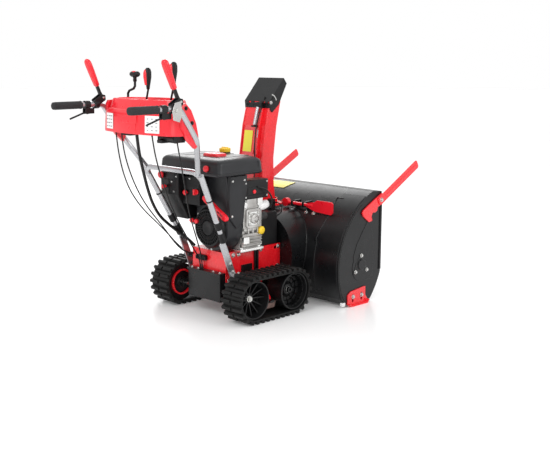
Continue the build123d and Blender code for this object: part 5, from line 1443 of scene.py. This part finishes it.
def console():
    levels = [(CONSOLE_LOW, 6), (CONSOLE_LOW, 0), (CONSOLE_LOW + 6, -1.5), (CONSOLE_LOW + 50, 0.5),
              (CONSOLE_LOW + 84, 3), (CONSOLE_LOW + 92, 5), (CONSOLE_LOW + 99, 12), (CONSOLE_LOW + 104, 22),
              (CONSOLE_LOW + 122, 28), (CONSOLE_LOW + 138, 32), (CONSOLE_LOW + 145, 36),
              (CONSOLE_LOW + 147, 42),
              (CONSOLE_LOW + 144, 48), (CONSOLE_LOW + 130, 52), (TRAY_Z + 2, 54), (TRAY_Z, 60)]
    shape = bmesh.new()
    rings = [console_ring(z, inset) for z, inset in levels]
    add_loft(shape, rings, cap_start=False)
    # Underside, closed a little above the rim.
    inner = [console_ring(CONSOLE_LOW, 6), console_ring(CONSOLE_LOW + 20, 8),
             console_ring(CONSOLE_LOW + 22, 40)]
    add_loft(shape, inner, cap_start=False)
    piece("console_shell", shape, "red_plastic", "root", ("console",), angle=40)
    # The near-black patches inside the slot rims are painted shade: they stand in for the dark depth of the
    # lever openings.
    slots = bmesh.new()
    for x, middle, half in ((-58, 1100, 62), (88, 1084, 50)):
        outline = round_box((x - 7, middle - half), (x + 7, middle + half), 6.5)
        add_loft(slots, [[at(px, back, z) for px, back in outline] for z in (TRAY_Z + 0.3, TRAY_Z + 1.2)])
    piece("console_slot_shade", slots, "print", "root")
    rims = bmesh.new()
    for x, middle, half in ((-58, 1100, 62), (88, 1084, 50)):
        ring_out = round_box((x - 13, middle - half - 6), (x + 13, middle + half + 6), 12)
        ring_in = round_box((x - 7.5, middle - half - 0.5), (x + 7.5, middle + half + 0.5), 7)
        rings = ((ring_out, TRAY_Z - 1), (ring_out, TRAY_Z + 4), (ring_in, TRAY_Z + 4), (ring_in, TRAY_Z - 1))
        add_loft(rims, [[at(px, back, z) for px, back in ring] for ring, z in rings], False, False)
    for back in (1050, 1076, 1128, 1150):
        add_box(rims, -150, -96, back, back + 8, TRAY_Z - 2, TRAY_Z + 3)
        add_box(rims, -10, 48, back, back + 8, TRAY_Z - 2, TRAY_Z + 3)
    piece("console_slot_rims", rims, "red_plastic", "root", edge=1.2)
    ears = bmesh.new()
    outline = [(1120, 978), (1146, 1004), (1166, 1002), (1176, 985), (1168, 900), (1130, 846), (1092, 812),
               (1078, 824), (1079, 864), (1092, 920)]
    middle, height = 1100, 930
    add_loft(ears, [[at(x, middle + (b - middle) * (1 - inset / 90),
                        height + (z - height) * (1 - inset / 100))
                     for b, z in outline]
                    for x, inset in ((238, 0), (254, 0), (260, 3), (262, 9))])
    mirror_all(ears)
    piece("console_ears", ears, "red_plastic", "root", edge=3, segments=3, angle=25)
    screws = bmesh.new()
    for back, z in ((1148, 984), (1116, 922), (1094, 850)):
        add_bolt(screws, at(262, back, z), (1, 0, 0), 6, 4)
    mirror_all(screws)
    piece("console_screws", screws, "black_paint", "root", edge=0.5)
    ledge = bmesh.new()
    rear = CONSOLE_REAR
    add_box(ledge, -92, 40, rear - 12, rear + 1.5, 914, 948)
    add_box(ledge, 30, 33, rear - 12, rear + 1.8, CONSOLE_LOW + 2, 914)
    piece("console_rear_panel", ledge, "red_plastic", "root", edge=3, segments=3)


def wall_back(x, lift=0.0):
    """How far back the console's rear wall is at a distance across."""
    bow = CONSOLE_REAR - CONSOLE_CORNER
    radius = (CONSOLE_HALF ** 2 + bow ** 2) / (2 * bow)
    return CONSOLE_REAR - radius + math.sqrt(radius ** 2 - x ** 2) + lift


def console_labels():
    for name, corners in (("console_label_left", ((-200, 882), (-138, 950))),
                          ("console_label_right", ((92, 878), (172, 950)))):
        (x1, z1), (x2, z2) = corners
        shape = bmesh.new()
        columns = [x1 + (x2 - x1) * n / 6 for n in range(7)]
        outline = [at(x, wall_back(x, 2.4), z1) for x in columns] + [at(x, wall_back(x, 0.6), z2)
                                                                     for x in reversed(columns)]
        add_prism(shape, outline, (0, 1, 0))
        piece(name, shape, "white_label", "root")
        marks = bmesh.new()
        for row in range(4):
            for column in range(3):
                x = x1 + (x2 - x1) * (0.2 + 0.3 * column)
                z = z1 + (z2 - z1) * (0.16 + 0.22 * row)
                half = 4 + (row + column) % 3
                lift = 2.2 + 0.8 * (1 - (z - z1) / (z2 - z1))
                add_box(marks, x - half, x + half, wall_back(x, lift - 0.6), wall_back(x, lift + 1.2),
                        z - 1.2, z + 1.2)
        piece(name + "_marks", marks, "print", "root")


def console_underside():
    shape = bmesh.new()
    add_box(shape, 110, 232, 1120, 1178, 846, 872)
    add_box(shape, 128, 160, 1140, 1196, 836, 850)
    add_box(shape, 176, 214, 1112, 1170, 838, 850)
    add_box(shape, 196, 236, 1090, 1120, 850, 872)
    add_rod(shape, "x", at(170, 1170, 858), 12, 90, 24)
    add_rod(shape, "z", at(186, 1140, 846), 9, 24, 20)
    add_box(shape, -160, -100, 1120, 1160, 850, 872)
    piece("console_mechanism", shape, "black_plastic", "root", edge=2.5)


def chute_crank():
    x, back = -214, 1080
    shape = bmesh.new()
    add_turned(shape, [(-90, 0), (-90, 5), (-4, 5), (0, 13), (6, 13), (12, 9), (24, 7), (26, 0)], "z",
               at(x, back, 990), 24)
    line = [(x, back, 1008), (x, back, 1030), (x + 10, back, 1042), (x + 42, back, 1052),
            (x + 52, back, 1064),
            (x + 52, back, 1090)]
    for start, end in zip(line, line[1:]):
        add_bar(shape, at(*start), at(*end), 5.5, 18)
        add_ball(shape, at(*end), 5.5, 18, 9)
    add_turned(shape, [(0, 6), (4, 9), (16, 8), (24, 11), (24, 0)], "z", at(x + 52, back, 1082), 24)
    piece("chute_crank_rod", shape, "black_paint", "chute_crank", ("chute_crank",), angle=45)
    knob = bmesh.new()
    rings = []
    for along, wide, tall in ((-27, 7, 6), (-25, 11, 10), (-18, 14, 13), (0, 13, 12), (18, 14, 13),
                              (25, 11, 10),
                              (27, 7, 6)):
        outline = arc((0, 0), 1, 0, 345, 23)
        rings.append([at(x + 52 + along, back + wide * u, 1116 + tall * v) for u, v in outline])
    add_loft(knob, rings)
    piece("chute_crank_knob", knob, "black_plastic", "chute_crank", angle=50)
    cap = bmesh.new()
    add_ball(cap, at(x + 48, back, 1126), 12, 20, 10, (1.4, 0.75, 0.4))
    piece("chute_crank_cap", cap, "red_plastic", "chute_crank")


def shift_lever(name, body, node, x, back, lean, knob_z, length):
    stem = bmesh.new()
    elbow = at(x, back, 1004)
    low = at(x, back, 906)
    base = at(x + lean, back, knob_z - length / 2)
    add_bar(stem, low, elbow, 4.5, 18)
    add_ball(stem, elbow, 4.5, 18, 9)
    add_bar(stem, elbow, base, 4.5, 18)
    add_rod(stem, "x", low, 8, 12, 24)
    piece(name + "_stem", stem, "black_paint", body, (node,), angle=45)
    half = length / 2
    sizes = [(-half, 5, 5), (-half + 4, 8, 8), (-half + 16, 9, 10), (-half + 34, 12, 14), (8, 15, 18),
             (half - 18, 15, 18), (half - 6, 11, 14), (half, 5, 7)]
    for suffix, finish, grow, shift in (("_knob", "black_plastic", 1.0, 0),
                                        ("_knob_face", "red_plastic", 0.86, 6)):
        knob = bmesh.new()
        rings = []
        for along, wide, deep in sizes:
            if suffix == "_knob_face" and along < -half + 12:
                continue
            outline = arc((0, 0), 1, 0, 340, 17)
            rings.append([at(x + lean + wide * grow * u - shift * 0.7, back + deep * 0.86 * grow * v + shift,
                             knob_z + along * (0.86 if shift else 1)) for u, v in outline])
        add_loft(knob, rings)
        piece(name + suffix, knob, finish, body, angle=50)


def build_console():
    console()
    console_labels()
    console_underside()
    chute_crank()
    shift_lever("speed_shift", "speed_lever", "speed_lever", -58, 1100, 14, 1098, 95)
    shift_lever("deflector_shift", "deflector_lever", "deflector_lever", 88, 1084, 24, 1124, 95)


def build_handles():
    tubes()
    grips()
    clutch_levers()
    control_mounts()


# ---- cables --------------------------------------------------------------------------------------
CABLES = {
    "clutch_cable": [(-188, 1172, 878), (-196, 1160, 812), (-209, 1136, 732), (-222, 1106, 660),
                     (-234, 1068, 592),
                     (-243, 1020, 530), (-246, 966, 472), (-240, 908, 418), (-228, 852, 360),
                     (-210, 806, 302),
                     (-182, 772, 262), (-148, 754, 246), (-115.9, 750, 242)],
    "steering_cable": [(-148, 1172, 878), (-158, 1158, 808), (-168, 1132, 732), (-174, 1100, 658),
                       (-177, 1062, 586), (-176, 1018, 518), (-172, 968, 456), (-166, 918, 396),
                       (-156, 878, 338),
                       (-138, 848, 296), (-118, 820, 274), (-109, 790, 268)],
    "drive_cable": [(64, 1172, 878), (68, 1164, 806), (64, 1140, 730), (54, 1108, 658), (40, 1070, 590),
                    (24, 1028, 524), (6, 980, 462), (-12, 930, 402), (-28, 880, 344), (-42, 836, 294),
                    (-48, 808, 260), (-46, 802, 232), (-44, 802, 205.3)],
    "shift_cable": [(186, 1140, 878), (188, 1132, 820), (180, 1108, 748), (160, 1078, 680), (132, 1042, 614),
                    (100, 1004, 552), (66, 962, 494), (34, 918, 438), (8, 876, 380), (-12, 840, 322),
                    (-26, 814, 276), (-32, 804, 244), (-30, 802, 205.3)],
    "chute_control_cable": [(53, 406, 488), (82, 405, 494), (106, 404, 478), (110, 408, 450), (100, 422, 436),
                            (96, 438.6, 432)],
    "wiring_harness": [(-8, 1196, 878), (-14, 1184, 800), (-34, 1146, 710), (-66, 1098, 622),
                       (-104, 1040, 540),
                       (-136, 972, 466), (-142, 906, 414), (-130, 860, 376), (-114, 816, 340),
                       (-105, 784, 305.5)],
}


def build_cables():
    for name, points in CABLES.items():
        thick = 7 if name == "wiring_harness" else 3
        replaced = ("control_cables",) if name == "clutch_cable" else ()
        smooth_curve(name, points, thick, "cable", "root", replaced)
    ends = bmesh.new()
    for name, points in CABLES.items():
        if name == "wiring_harness":
            continue
        for first, second in ((points[0], points[1]), (points[-1], points[-2])):
            start = at(*first)
            run = (at(*second) - start).normalized()
            add_bar(ends, start, start + run * 22 * MM, 4.6, 16, 3.6)
            add_bar(ends, start + run * 6 * MM, start + run * 9 * MM, 6.2, 6)
    piece("cable_end_sleeves", ends, "black_plastic", "root")


# ---- everything ----------------------------------------------------------------------------------
def build():
    build_stage()
    build_camera()
    build_kept()
    build_tracks()
    build_bucket()
    bolts()
    build_chute()
    build_engine()
    build_frame()
    build_handles()
    build_console()
    build_cables()


build()

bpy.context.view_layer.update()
